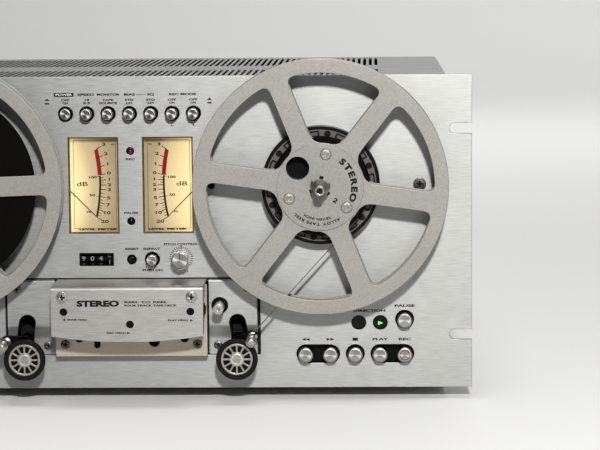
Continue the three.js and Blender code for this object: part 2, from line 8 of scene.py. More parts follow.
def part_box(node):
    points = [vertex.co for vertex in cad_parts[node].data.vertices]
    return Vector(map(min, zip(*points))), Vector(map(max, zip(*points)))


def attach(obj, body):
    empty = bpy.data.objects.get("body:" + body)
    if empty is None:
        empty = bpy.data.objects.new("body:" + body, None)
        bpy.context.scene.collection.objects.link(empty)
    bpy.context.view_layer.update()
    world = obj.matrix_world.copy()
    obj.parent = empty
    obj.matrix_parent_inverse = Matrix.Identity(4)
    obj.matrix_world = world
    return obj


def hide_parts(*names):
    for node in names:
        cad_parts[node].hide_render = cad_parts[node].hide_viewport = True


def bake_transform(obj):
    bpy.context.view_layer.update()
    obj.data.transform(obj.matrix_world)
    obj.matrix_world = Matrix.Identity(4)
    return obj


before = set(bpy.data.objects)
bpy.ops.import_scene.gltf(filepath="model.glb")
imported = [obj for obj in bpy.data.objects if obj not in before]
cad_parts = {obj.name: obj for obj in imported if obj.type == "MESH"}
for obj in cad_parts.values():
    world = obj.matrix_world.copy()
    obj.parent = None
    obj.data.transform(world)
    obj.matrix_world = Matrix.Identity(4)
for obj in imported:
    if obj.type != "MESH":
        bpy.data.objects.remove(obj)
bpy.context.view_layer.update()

# Rack-mount reel to reel tape deck: its looks, built round the CAD frame.
# Shapes are written in millimetres in the deck's own axes: x to the right, y into the depth with
# the panel's front face at 0, z up from the panel's bottom edge.

MM = 0.001
PANEL_LOW, PANEL_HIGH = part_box("front_panel")
ORIGIN = Vector((0.0, PANEL_LOW.y, PANEL_LOW.z))


def placed(name, data):
    """A new object in the scene."""
    made = bpy.data.objects.new(name, data)
    bpy.context.scene.collection.objects.link(made)
    return made


# ---- places taken from the frame


def corners(node):
    """A CAD node's lowest and highest corners, in the deck's millimetres."""
    low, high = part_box(node)
    return (low - ORIGIN) / MM, (high - ORIGIN) / MM


def centre(node):
    low, high = corners(node)
    return (low.x + high.x) / 2, (low.z + high.z) / 2


# ---- camera

CAMERA_PLACE = (167.48, -1668.45, 310.95)
CAMERA_YAW, CAMERA_PITCH, CAMERA_ROLL = (math.radians(a) for a in (-1.66, 6.66, -0.5))
CAMERA_LENS = 143.17


def camera_axes():
    """The camera's right, up and forward directions from its yaw, pitch and roll."""
    yaw = Vector((math.cos(CAMERA_YAW), -math.sin(CAMERA_YAW), 0.0))
    flat = math.cos(CAMERA_PITCH)
    forward = Vector((math.sin(CAMERA_YAW) * flat, math.cos(CAMERA_YAW) * flat, -math.sin(CAMERA_PITCH)))
    up = yaw.cross(forward)
    cos_roll, sin_roll = math.cos(CAMERA_ROLL), math.sin(CAMERA_ROLL)
    return cos_roll * yaw + sin_roll * up, cos_roll * up - sin_roll * yaw, forward


def make_camera():
    data = bpy.data.cameras.new("camera")
    data.lens = CAMERA_LENS
    data.sensor_width = 36.0
    data.clip_end = 50.0
    camera = placed("camera", data)
    right, up, forward = camera_axes()
    turn = Matrix((right, up, -forward)).transposed().to_4x4()
    camera.matrix_world = Matrix.Translation(ORIGIN + Vector(CAMERA_PLACE) * MM) @ turn
    bpy.context.scene.camera = camera


make_camera()

# ---- outlines: lists of (u, v) points


def polar(radius, degrees, x=0.0, z=0.0):
    """The point at a radius and angle from (x, z)."""
    a = math.radians(degrees)
    return x + radius * math.cos(a), z + radius * math.sin(a)


def rotated(points, degrees, x=0.0, z=0.0):
    """An outline turned anticlockwise about its origin, then moved to (x, z)."""
    a = math.radians(degrees)
    cos, sin = math.cos(a), math.sin(a)
    return [(x + u * cos - v * sin, z + u * sin + v * cos) for u, v in points]


def arc(x, z, radius, start, end, steps=8):
    """Points along an arc, angles in degrees."""
    return [polar(radius, start + (end - start) * i / steps, x, z) for i in range(steps + 1)]


def circle(x, z, radius, sides=64):
    return arc(x, z, radius, 0, 360, sides)[:-1]


def rounded(points, radius, steps=4, keep=lambda point: False):
    """The closed outline with each corner eased over `radius`, apart from the corners to keep."""
    made = []
    count = len(points)
    for i, point in enumerate(points):
        here = Vector(point)
        before = Vector(points[i - 1]) - here
        after = Vector(points[(i + 1) % count]) - here
        if keep(point) or before.length < 1e-9 or after.length < 1e-9:
            made.append(tuple(here))
            continue
        start = here + before.normalized() * min(radius, before.length * 0.49)
        end = here + after.normalized() * min(radius, after.length * 0.49)
        for k in range(steps + 1):
            t = k / steps
            made.append(tuple(start * (1 - t) ** 2 + here * 2 * t * (1 - t) + end * t * t))
    return made


def rectangle(x0, x1, z0, z1, radius=0.0, steps=4):
    points = [(x0, z0), (x1, z0), (x1, z1), (x0, z1)]
    return rounded(points, radius, steps) if radius else points


def stadium(x0, x1, z, radius, steps=16):
    return arc(x1 - radius, z, radius, -90, 90, steps) + arc(x0 + radius, z, radius, 90, 270, steps)


def mirrored(points):
    return [(-x, z) for x, z in reversed(points)]


# ---- meshes

# How a flat outline (u, v) with its thickness w lies in the deck: across y, x or z.
FACING = {
    "y": Matrix(((1, 0, 0, 0), (0, 0, -1, 0), (0, 1, 0, 0), (0, 0, 0, 1))),
    "x": Matrix(((0, 0, 1, 0), (1, 0, 0, 0), (0, 1, 0, 0), (0, 0, 0, 1))),
    "z": Matrix.Identity(4),
}
AXIS = {"x": Vector((1, 0, 0)), "y": Vector((0, 1, 0)), "z": Vector((0, 0, 1))}


def evaluated(data, modifiers=()):
    """A new mesh from a curve or mesh as it is shown, with (type, settings) modifiers applied."""
    holder = placed("holder", data)
    for kind, settings in modifiers:
        modifier = holder.modifiers.new(kind, kind)
        for key, value in settings.items():
            setattr(modifier, key, value)
    graph = bpy.context.evaluated_depsgraph_get()
    mesh = bpy.data.meshes.new_from_object(holder.evaluated_get(graph))
    bpy.data.objects.remove(holder)
    return mesh


def edited(mesh, action):
    """Runs action(bmesh) on a mesh and gives the mesh back."""
    shape = bmesh.new()
    shape.from_mesh(mesh)
    action(shape)
    shape.to_mesh(mesh)
    shape.free()
    return mesh


def weld(shape):
    bmesh.ops.remove_doubles(shape, verts=shape.verts, dist=0.0005)
    bmesh.ops.dissolve_degenerate(shape, edges=shape.edges, dist=0.0002)
    bmesh.ops.recalc_face_normals(shape, faces=shape.faces)


def plate(outlines, low, high, bevel=0.15, facing="y", steps=1):
    """A plate from low to high along its facing axis: an outer outline, then its holes."""
    curve = bpy.data.curves.new("plate", "CURVE")
    curve.dimensions = "2D"
    curve.fill_mode = "BOTH"
    for points in outlines:
        spline = curve.splines.new("POLY")
        spline.points.add(len(points) - 1)
        for place, (u, v) in zip(spline.points, points):
            place.co = (u, v, 0, 1)
        spline.use_cyclic_u = True
    curve.extrude = (high - low) / 2 - bevel
    curve.bevel_depth = bevel
    curve.bevel_resolution = steps
    curve.offset = -bevel
    mesh = evaluated(curve)
    mesh.transform(Matrix.Translation(AXIS[facing] * (low + high) / 2) @ FACING[facing])
    return edited(mesh, weld)


def block(x0, x1, y0, y1, z0, z1, bevel=0.3, corner=0.0):
    return plate([rectangle(x0, x1, z0, z1, corner)], y0, y1, bevel)


def lathe(profile, sides=64, ease=0.0, steps=2, x=0.0, z=0.0):
    """A closed outline of (radius, y) pairs turned about the Y axis through x and z."""
    if ease:
        profile = rounded(profile, ease, steps, keep=lambda point: point[0] < 1e-6)
    shape = bmesh.new()
    rings = []
    for radius, y in profile:
        if radius < 1e-6:
            rings.append([shape.verts.new((x, y, z))] * sides)
            continue
        rings.append([shape.verts.new((x + px, y, z + pz)) for px, pz in circle(0, 0, radius, sides)])
    for i, here in enumerate(rings):
        other = rings[(i + 1) % len(rings)]
        for k in range(sides):
            n = (k + 1) % sides
            corner = list(dict.fromkeys((here[k], here[n], other[n], other[k])))
            if len(corner) > 2:
                shape.faces.new(corner)
    bmesh.ops.recalc_face_normals(shape, faces=shape.faces)
    mesh = bpy.data.meshes.new("lathe")
    shape.to_mesh(mesh)
    shape.free()
    return mesh


def ring(inner, outer, y0, y1, sides=64, ease=0.0, **spot):
    """A turned ring from y0 to y1, or a disc where `inner` is 0."""
    return lathe([(inner, y0), (outer, y0), (outer, y1), (inner, y1)], sides, ease, **spot)


def merged(*meshes):
    shape = bmesh.new()
    for mesh in meshes:
        shape.from_mesh(mesh)
    whole = bpy.data.meshes.new("merged")
    shape.to_mesh(whole)
    shape.free()
    return whole


def spin(degrees, axis):
    return Matrix.Rotation(math.radians(degrees), 4, axis)


def transformed(mesh, matrix):
    """A copy of the mesh, moved by the matrix."""
    copy = mesh.copy()
    copy.transform(matrix)
    return copy


def moved(mesh, x=0.0, y=0.0, z=0.0, turn=0.0):
    """A copy, turned by `turn` degrees as seen from the front and then moved."""
    return transformed(mesh, Matrix.Translation((x, y, z)) @ spin(-turn, "Y"))


def flipped(mesh):
    """The mirror image in x."""
    copy = transformed(mesh, Matrix.Diagonal((-1, 1, 1, 1)))
    copy.flip_normals()
    return copy


SIDES = (("left", -1), ("right", 1))


def on_side(mesh, side):
    """A mesh made for the right, or its mirror image where side is -1."""
    return mesh if side > 0 else flipped(mesh)


def carved(mesh, cutter, bevel=0.0):
    """The mesh with a cutter taken away and its sharp edges eased."""
    tool = placed("cutter", cutter)
    steps = [("BOOLEAN", {"object": tool, "operation": "DIFFERENCE", "solver": "EXACT"})]
    if bevel:
        steps.append(("BEVEL", {"width": bevel, "segments": 2, "limit_method": "ANGLE",
                                "angle_limit": math.radians(50)}))
    made = evaluated(mesh, steps)
    bpy.data.objects.remove(tool)
    return made


def swept(points, x0, x1, bevel=0.0):
    """A closed outline in y and z, from x0 to x1."""
    return plate([points], x0, x1, bevel, "x")


def bent_sheet(path, thickness, bend, steps=6):
    """The closed outline of a sheet that follows an open path, bent round `bend` at its corners."""
    fixed = {path[0], path[-1]}
    line = [Vector(p) for p in rounded(path, bend, steps, keep=lambda point: tuple(point) in fixed)]
    offset = []
    for i, here in enumerate(line):
        along = line[min(i + 1, len(line) - 1)] - line[max(i - 1, 0)]
        offset.append(here + Vector((-along.y, along.x)).normalized() * thickness)
    return [tuple(p) for p in line] + [tuple(p) for p in reversed(offset)]


INK_HEIGHT = 0.02
CAPITAL_SHARE = 0.73  # a capital's height as a share of the font's size


def lettering(words, x, z, height, stretch=1.35, y=0.0, bold=0.055, turn=0.0):
    """Printed words, `height` millimetres tall, just proud of the surface at y."""
    curve = bpy.data.curves.new("words", "FONT")
    curve.body = words
    curve.size = height / CAPITAL_SHARE
    curve.align_x = "CENTER"
    curve.align_y = "CENTER"
    curve.resolution_u = 3
    curve.extrude = INK_HEIGHT
    curve.offset = bold * height
    mesh = evaluated(curve)
    mesh.transform(Matrix.Diagonal((stretch, 1, 1, 1)))
    mesh.transform(Matrix.Translation((x, y - INK_HEIGHT, z)) @ spin(-turn, "Y") @ FACING["y"])
    return edited(mesh, weld)


def printed(outlines, y=0.0):
    """A printed shape, just proud of the surface at y."""
    return plate(outlines, y - 2 * INK_HEIGHT, y + INK_HEIGHT, bevel=0.0)


# ---- materials


def node(tree, kind, inputs=None, **settings):
    """One shader node; an input may be a value or another node's output socket."""
    made = tree.nodes.new("ShaderNode" + kind)
    for key, value in settings.items():
        setattr(made, key, value)
    for socket, value in (inputs or {}).items():
        if isinstance(value, bpy.types.NodeSocket):
            tree.links.new(value, made.inputs[socket])
        else:
            made.inputs[socket].default_value = value
    return made


def new_material(name, roughness, metallic=0.0, **sockets):
    """A material and its tree and shader; sockets are named with _ for a space."""
    material = bpy.data.materials.new(name)
    material.use_nodes = True
    tree = material.node_tree
    shader = tree.nodes["Principled BSDF"]
    shader.inputs["Roughness"].default_value = roughness
    shader.inputs["Metallic"].default_value = metallic
    for key, value in sockets.items():
        shader.inputs[key.replace("_", " ")].default_value = value
    return material, tree, shader


def place_on(tree, scale=(1, 1, 1)):
    """The piece's own coordinates in metres, scaled along each axis."""
    coords = node(tree, "TexCoord")
    return node(tree, "Mapping", {"Vector": coords.outputs["Object"], "Scale": scale}).outputs["Vector"]


def noise(tree, vector, detail=3.0, rough=0.55):
    inputs = {"Vector": vector, "Scale": 1.0, "Detail": detail, "Roughness": rough}
    return node(tree, "TexNoise", inputs).outputs["Fac"]


def between(tree, value, low, high, start=0.3, end=0.7):
    """A value mapped from start..end to low..high."""
    inputs = {"Value": value, "From Min": start, "From Max": end, "To Min": low, "To Max": high}
    return node(tree, "MapRange", inputs).outputs["Result"]


def shades(tree, value, *stops):
    """A colour ramp through (position, colour) stops."""
    ramp = node(tree, "ValToRGB", {"Fac": value})
    elements = ramp.color_ramp.elements
    while len(elements) < len(stops):
        elements.new(0.5)
    for element, (position, color) in zip(elements, stops):
        element.position = position
        element.color = (*color, 1.0)
    return ramp.outputs["Color"]


def multiplied(tree, a, b, share=1.0):
    mix = node(tree, "Mix", data_type="RGBA", blend_type="MULTIPLY")
    tree.links.new(a, mix.inputs[6])
    tree.links.new(b, mix.inputs[7])
    mix.inputs[0].default_value = share
    return mix.outputs[2]


def bumped(tree, shader, height, strength, distance=0.0001):
    bump = node(tree, "Bump", {"Height": height, "Strength": strength, "Distance": distance})
    tree.links.new(bump.outputs["Normal"], shader.inputs["Normal"])


def grained(name, dark, light, roughness, metallic, grain, cloud=30.0, bump=0.15, spread=0.05, **sockets):
    """A finish with a grain (periods per metre along x, y and z) and broad soft clouds."""
    material, tree, shader = new_material(name, roughness, metallic, **sockets)
    fine = noise(tree, place_on(tree, grain))
    broad = noise(tree, place_on(tree, (cloud, cloud, cloud)), detail=2.0)
    color = shades(tree, fine, (0.3, dark), (0.7, light))
    soft = shades(tree, broad, (0.25, (0.93, 0.93, 0.93)), (0.75, (1, 1, 1)))
    tree.links.new(multiplied(tree, color, soft), shader.inputs["Base Color"])
    tree.links.new(between(tree, fine, roughness - spread, roughness + spread), shader.inputs["Roughness"])
    bumped(tree, shader, fine, bump)
    return material


def ring_noise(tree, rings, detail):
    """Noise in rings round the piece's own Y axis, `rings` periods to the metre."""
    flat = place_on(tree, (1, 0, 1))
    length = node(tree, "VectorMath", {0: flat}, operation="LENGTH").outputs["Value"]
    scaled = node(tree, "Math", {0: length, 1: rings}, operation="MULTIPLY").outputs["Value"]
    inputs = {"W": scaled, "Scale": 1.0, "Detail": detail}
    return node(tree, "TexNoise", inputs, noise_dimensions="1D").outputs["Fac"]


def ringed(name, dark, light, roughness, rings, detail, bump, **settings):
    """A finish with fine rings: its material, tree and shader."""
    material, tree, shader = new_material(name, roughness, **settings)
    fine = ring_noise(tree, rings, detail)
    tree.links.new(shades(tree, fine, (0.3, dark), (0.7, light)), shader.inputs["Base Color"])
    bumped(tree, shader, fine, bump)
    return material, tree, shader


def spun(name, dark, light, roughness):
    """Metal turned on a lathe, with its highlight drawn out across the rings."""
    material, tree, shader = ringed(name, dark, light, roughness, 2600.0, 3.0, 0.12,
                                    metallic=1.0, Anisotropic=0.75)
    tangent = node(tree, "Tangent", direction_type="RADIAL", axis="Y")
    tree.links.new(tangent.outputs["Tangent"], shader.inputs["Tangent"])
    return material


def glowing_card(name, lamp_side, shade_stop):
    """A meter card whose emission is a painted glow, bright at its outer side as if lit by a lamp behind it,
    with painted shade towards its top and bottom; lamp_side is -1 or 1.
    """
    material, tree, shader = new_material(name, 0.55, Emission_Strength=0.75)
    coords = node(tree, "TexCoord").outputs["Object"]
    split = node(tree, "SeparateXYZ", {"Vector": coords})
    across = between(tree, split.outputs["X"], 0.0, 1.0, lamp_side * -0.018, lamp_side * 0.018)
    # Painted shade: the glow dims towards the card's top and bottom edges.
    up = between(tree, split.outputs["Z"], -1.0, 1.0, -0.04, 0.03)
    height = node(tree, "Math", {0: up, 1: up}, operation="MULTIPLY").outputs["Value"]
    glow = node(tree, "Math", {0: height, 1: -0.22, 2: across}, operation="MULTIPLY_ADD").outputs["Value"]
    color = shades(tree, glow, (0.0, (0.11, 0.075, 0.035)), (shade_stop, (0.36, 0.27, 0.14)),
                   (0.75, (0.84, 0.66, 0.32)), (1.0, (1.0, 0.84, 0.44)))
    tree.links.new(color, shader.inputs["Emission Color"])
    paper = noise(tree, place_on(tree, (900, 900, 900)))
    tree.links.new(shades(tree, paper, (0.3, (0.22, 0.18, 0.11)), (0.7, (0.27, 0.22, 0.135))),
                   shader.inputs["Base Color"])
    return material


def wound_tape():
    """The side of wound tape: fine dark rings."""
    return ringed("wound_tape", (0.001, 0.001, 0.001), (0.005, 0.0045, 0.004), 0.5, 1400.0, 4.0, 0.2,
                  Specular_IOR_Level=0.06)[0]


FINISH = {}
BRUSHED = {"grain": (95, 900, 1700), "Anisotropic": 0.45, "Anisotropic_Rotation": 0.25}


def finish(name, slot, dark, light, roughness, metallic, grain, **settings):
    """A grained finish that stands for a slot of the record; an even grain is one number."""
    if not isinstance(grain, tuple):
        grain = (grain, grain, grain)
    FINISH[name] = grained(name, dark, light, roughness, metallic, grain, **settings), slot


def make_finishes():
    finish("panel", "panel_aluminium", (0.265, 0.268, 0.26), (0.335, 0.338, 0.328), 0.42, 0.75, **BRUSHED)
    finish("cover", "panel_aluminium", (0.245, 0.241, 0.229), (0.33, 0.326, 0.308), 0.42, 0.7, **BRUSHED)
    finish("reel", "reel_aluminium", (0.21, 0.207, 0.189), (0.31, 0.305, 0.279), 0.46, 0.5, 1700, bump=0.25)
    finish("hub", "reel_aluminium", (0.20, 0.20, 0.184), (0.29, 0.287, 0.266), 0.48, 0.5, 1300, bump=0.3)
    finish("champagne", "champagne_plate", (0.36, 0.33, 0.26), (0.42, 0.38, 0.31), 0.42, 0.5, 900)
    finish("felt", "champagne_plate", (0.10, 0.092, 0.072), (0.15, 0.138, 0.11), 0.8, 0.0, 1500, bump=0.4)
    finish("chrome", "chrome", (0.48, 0.48, 0.465), (0.60, 0.60, 0.58), 0.24, 1.0, 400, bump=0.02,
           spread=0.03)
    finish("dark_chrome", "chrome", (0.09, 0.088, 0.08), (0.16, 0.157, 0.145), 0.34, 0.8, 700, bump=0.1)
    finish("screw", "chrome", (0.27, 0.27, 0.25), (0.38, 0.38, 0.355), 0.28, 0.85, 900, bump=0.1)
    finish("strand", "tape", (0.10, 0.09, 0.08), (0.15, 0.14, 0.125), 0.25, 0.2, (200, 200, 1200),
           bump=0.05)
    FINISH["spun"] = spun("spun_cap", (0.22, 0.217, 0.207), (0.36, 0.355, 0.34), 0.32), "chrome"
    finish("roller", "chrome", (0.24, 0.235, 0.205), (0.33, 0.32, 0.285), 0.34, 0.7, 900, bump=0.1)
    finish("case", "case_paint", (0.105, 0.105, 0.10), (0.15, 0.15, 0.145), 0.42, 0.55, (25, 170, 500),
           bump=0.06)
    finish("steel", "zinc_steel", (0.38, 0.39, 0.37), (0.55, 0.55, 0.52), 0.42, 0.9, 220)
    finish("iron", "core_iron", (0.05, 0.05, 0.05), (0.10, 0.10, 0.10), 0.5, 0.6, (900, 60, 60))
    finish("black", "black_plastic", (0.0015, 0.0015, 0.0015), (0.004, 0.004, 0.004), 0.42, 0.0, 1800,
           bump=0.2, Specular_IOR_Level=0.12)
    finish("gloss_black", "black_plastic", (0.002, 0.002, 0.002), (0.004, 0.004, 0.004), 0.14, 0.0, 300,
           bump=0.02, Specular_IOR_Level=0.2)
    finish("rubber", "rubber", (0.002, 0.002, 0.002), (0.006, 0.006, 0.0055), 0.55, 0.0, 1500, bump=0.4,
           Specular_IOR_Level=0.18)
    FINISH["tape"] = wound_tape(), "tape"
    finish("board", "board", (0.02, 0.09, 0.035), (0.035, 0.14, 0.055), 0.45, 0.0, (300, 60, 300))
    finish("ink", "black_plastic", (0.004, 0.004, 0.004), (0.01, 0.01, 0.01), 0.6, 0.0, 2500, bump=0.05,
           Specular_IOR_Level=0.2)
    finish("white_ink", "black_plastic", (0.62, 0.62, 0.60), (0.75, 0.75, 0.73), 0.5, 0.0, 2500, bump=0.05)
    finish("dim_ink", "black_plastic", (0.22, 0.22, 0.21), (0.30, 0.30, 0.29), 0.5, 0.0, 2500, bump=0.05)
    finish("red_ink", "meter_face", (0.20, 0.005, 0.006), (0.26, 0.008, 0.009), 0.6, 0.0, 2500, bump=0.05,
           Specular_IOR_Level=0.2)
    finish("red_lens", "black_plastic", (0.035, 0.001, 0.002), (0.06, 0.002, 0.004), 0.1, 0.0, 500,
           bump=0.02, Coat_Weight=0.6)
    FINISH["left_card"] = glowing_card("left_meter_card", -1, 0.46), "meter_face"
    FINISH["right_card"] = glowing_card("right_meter_card", 1, 0.22), "meter_face"
    finish("bezel", "meter_face", (0.09, 0.05, 0.02), (0.15, 0.085, 0.033), 0.25, 0.3, (60, 60, 600),
           Coat_Weight=0.4)
    finish("green_glow", "black_plastic", (0.10, 0.8, 0.05), (0.16, 0.95, 0.08), 0.4, 0.0, 600,
           Emission_Color=(0.12, 0.9, 0.05, 1.0), Emission_Strength=0.7)


make_finishes()

# ---- pieces


def add(name, mesh, finish, body="root", at=(0.0, 0.0, 0.0), replaces=(), sharp=35.0):
    """One piece of the object: a mesh in deck millimetres round `at`, its finish and its body."""
    mesh = mesh.copy()
    mesh.name = name
    mesh.transform(Matrix.Scale(MM, 4))
    mesh.shade_smooth()
    mesh.set_sharp_from_angle(angle=math.radians(sharp))
    material, slot = FINISH[finish]
    mesh.materials.clear()
    mesh.materials.append(material)
    piece = placed(name, mesh)
    piece.location = ORIGIN + Vector(at) * MM
    normals = piece.modifiers.new("normals", "WEIGHTED_NORMAL")
    normals.keep_sharp = True
    if body:
        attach(piece, body)
    if replaces:
        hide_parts(*replaces)
    return piece


def set_finish(finish, *nodes):
    """Gives CAD nodes that stay as they are a finish."""
    for name in nodes:
        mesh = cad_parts[name].data
        mesh.materials.clear()
        mesh.materials.append(FINISH[finish][0])


def cross_recess(size, width):
    """The outline of a Phillips recess."""
    half = width / 2
    arm = [(half, half), (size, half * 0.7), (size, -half * 0.7)]
    return [point for quarter in range(4) for point in rotated(arm, -90 * quarter)]


def screw_head(radius, height, recess=0.55, dome=0.35):
    """A Phillips head whose back lies at y = 0."""
    rings = [circle(0, 0, radius, 40), cross_recess(radius * recess, radius * 0.26)]
    head = plate(rings, -height, 0.0, min(0.35, height * 0.35), steps=2)
    for vertex in head.vertices:
        if vertex.co.y < -height * 0.5:
            share = math.hypot(vertex.co.x, vertex.co.z) / radius
            vertex.co.y += dome * height * share * share
    return head


def add_screws(name, radius, height, spots, finish="screw", turned=moved, body="root",
               at=(0.0, 0.0, 0.0), **shape):
    """A set of Phillips screws, with a dark floor in each recess as painted shade."""
    head = screw_head(radius, height, **shape)
    # Painted shade: a dark floor in each recess.
    floor = plate([circle(0, 0, radius * 0.7, 24)], -height * 0.3, 0.0, 0.0)
    add(name, merged(*(turned(head, *spot) for spot in spots)), finish, body, at)
    add(name + "_recess", merged(*(turned(floor, *spot) for spot in spots)), "ink", body, at)


def rear_turned(mesh):
    """The mesh turned to face the rear."""
    return transformed(mesh, spin(180, "Z"))


# ---- front panel

HALF_WIDTH = (PANEL_HIGH.x - PANEL_LOW.x) / 2 / MM
PANEL_TOP = (PANEL_HIGH.z - PANEL_LOW.z) / MM
PANEL_BACK = (PANEL_HIGH.y - PANEL_LOW.y) / MM
RACK_SLOT = {"pitch": 146.05, "radius": 3.6, "depth": 15.8}
RECESS = (-90.4, 90.4, 23.9, 78.9)
METER_WINDOW = (8.6, 43.9, 110.5, 178.7)
COUNTER_WINDOW = (-37, -13, 87.7, 96.7)
TOP_KEYS = ("power", "speed", "monitor", "bias", "eq", "left_rec", "right_rec")
TRANSPORT_KEYS = ("rewind", "fast_forward", "stop", "play", "record", "pause")
KNOBS = ("pitch_knob", "record_level_knob", "output_level_knob")
TOP_HOLE = 5.2
TRANSPORT_HOLE = 6.5
RESET_HOLE = 3.3
JACKS = ((-195, 38.5), (-195, 20), (-213, 20))
LAMPS = ((0, 169), (0, 119.4))
DIRECTION_WINDOWS = ((160.1, 46.4), (175.3, 46.4))
TAPE_SENSORS = ((-56.8, 144.4), (56.8, 144.4))
PANEL_SCREWS = ((-203.4, 144.6), (203.4, 144.6))

KEY_AT = {key: centre(key + "_button") for key in TOP_KEYS + TRANSPORT_KEYS + ("repeat", "reset")}
KNOB_AT = {knob: centre(knob) for knob in KNOBS}
LEFT_PAIR = ("rewind", "fast_forward")
RIGHT_PAIR = ("play", "record")


def panel_edge():
    """The panel's outline with its four open rack slots."""
    notches = []
    for side in (-1, 1):
        z = PANEL_TOP / 2 + side * RACK_SLOT["pitch"] / 2
        r = RACK_SLOT["radius"]
        inner = HALF_WIDTH - RACK_SLOT["depth"] + r
        notches += [(HALF_WIDTH, z - r)] + arc(inner, z, r, 270, 90, 14) + [(HALF_WIDTH, z + r)]
    right = [(HALF_WIDTH, 0)] + notches + [(HALF_WIDTH, PANEL_TOP)]
    return right + mirrored(right)


def pair_slot(pair, radius):
    (x0, z), (x1, _) = KEY_AT[pair[0]], KEY_AT[pair[1]]
    return stadium(x0 - TRANSPORT_HOLE, x1 + TRANSPORT_HOLE, z, radius)


def front_panel():
    x0, x1, z0, z1 = METER_WINDOW
    holes = [rectangle(*RECESS, 0.8), rectangle(x0, x1, z0, z1, 0.4), rectangle(-x1, -x0, z0, z1, 0.4)]
    holes += [rectangle(*COUNTER_WINDOW, 0.3)]
    holes += [circle(*KEY_AT[key], TOP_HOLE, 48) for key in TOP_KEYS + ("repeat",)]
    holes += [circle(*KEY_AT[key], TRANSPORT_HOLE, 56) for key in ("stop", "pause")]
    holes += [pair_slot(pair, TRANSPORT_HOLE) for pair in (LEFT_PAIR, RIGHT_PAIR)]
    holes += [circle(*KEY_AT["reset"], RESET_HOLE, 36)]
    holes += [circle(*KNOB_AT[knob], 3.4, 32) for knob in KNOBS]
    holes += [circle(*spot, 3.6, 40) for spot in JACKS]
    holes += [circle(*spot, 2.7, 36) for spot in LAMPS]
    holes += [circle(*spot, 5.1, 48) for spot in DIRECTION_WINDOWS]
    holes += [circle(*spot, 2.5, 36) for spot in TAPE_SENSORS]
    holes += [circle(*centre(side + "_table"), 12, 64) for side in ("supply", "takeup")]
    return plate([panel_edge()] + holes, 0, PANEL_BACK, 0.35, steps=2)


LINER_FRONT = -0.12
LINER_BACK = 5.5
LINER_WALL = 0.5
LINER_GAP = 0.03


def ring_liner(x, z, radius):
    return ring(radius - LINER_WALL, radius - LINER_GAP, LINER_FRONT, LINER_BACK, 56, 0.1, x=x, z=z)


# The black strips behind the keys, painted shade behind their holes: x0, x1, z0 and z1.
KEY_STRIPS = ((TOP_KEYS, (-54, 54, 187.5, 203.5)), (TRANSPORT_KEYS, (115, 201, 15, 57)),
              (("repeat", "reset"), (-4.8, 22, 85, 99)))


def key_liners():
    """Black tubes in the key holes, with the strip behind them: their black is painted shade in the holes."""
    parts = [ring_liner(*KEY_AT[key], TOP_HOLE) for key in TOP_KEYS + ("repeat",)]
    parts += [ring_liner(*KEY_AT[key], TRANSPORT_HOLE) for key in ("stop", "pause")]
    parts += [ring_liner(*KEY_AT["reset"], RESET_HOLE)]
    for pair in (LEFT_PAIR, RIGHT_PAIR):
        rims = [pair_slot(pair, TRANSPORT_HOLE - LINER_GAP), pair_slot(pair, TRANSPORT_HOLE - LINER_WALL)]
        parts.append(plate(rims, LINER_FRONT, LINER_BACK, 0.1))
    for keys, area in KEY_STRIPS:
        stems = [circle(*KEY_AT[key], 2.8, 24) for key in keys]
        parts.append(plate([rectangle(*area)] + stems, 5.6, 5.95, 0))
    return merged(*parts)


def counter_frame():
    x0, x1, z0, z1 = COUNTER_WINDOW
    rims = [rectangle(x0, x1, z0, z1, 0.3), rectangle(x0 + 0.7, x1 - 0.7, z0 + 0.7, z1 - 0.7, 0.2)]
    return plate(rims, -0.15, 4.0, 0.12)


def spoke_mark(x, z, r0, r1, angle, width):
    """A short printed line that points away from (x, z)."""
    half = width / 2
    return rotated([(r0, -half), (r1, -half), (r1, half), (r0, half)], angle, x, z)


def triangle(x, z, width, height, turn=0.0):
    """A triangle that points up, turned by `turn` degrees."""
    return rotated([(-width / 2, -height / 2), (width / 2, -height / 2), (0, height / 2)], turn, x, z)


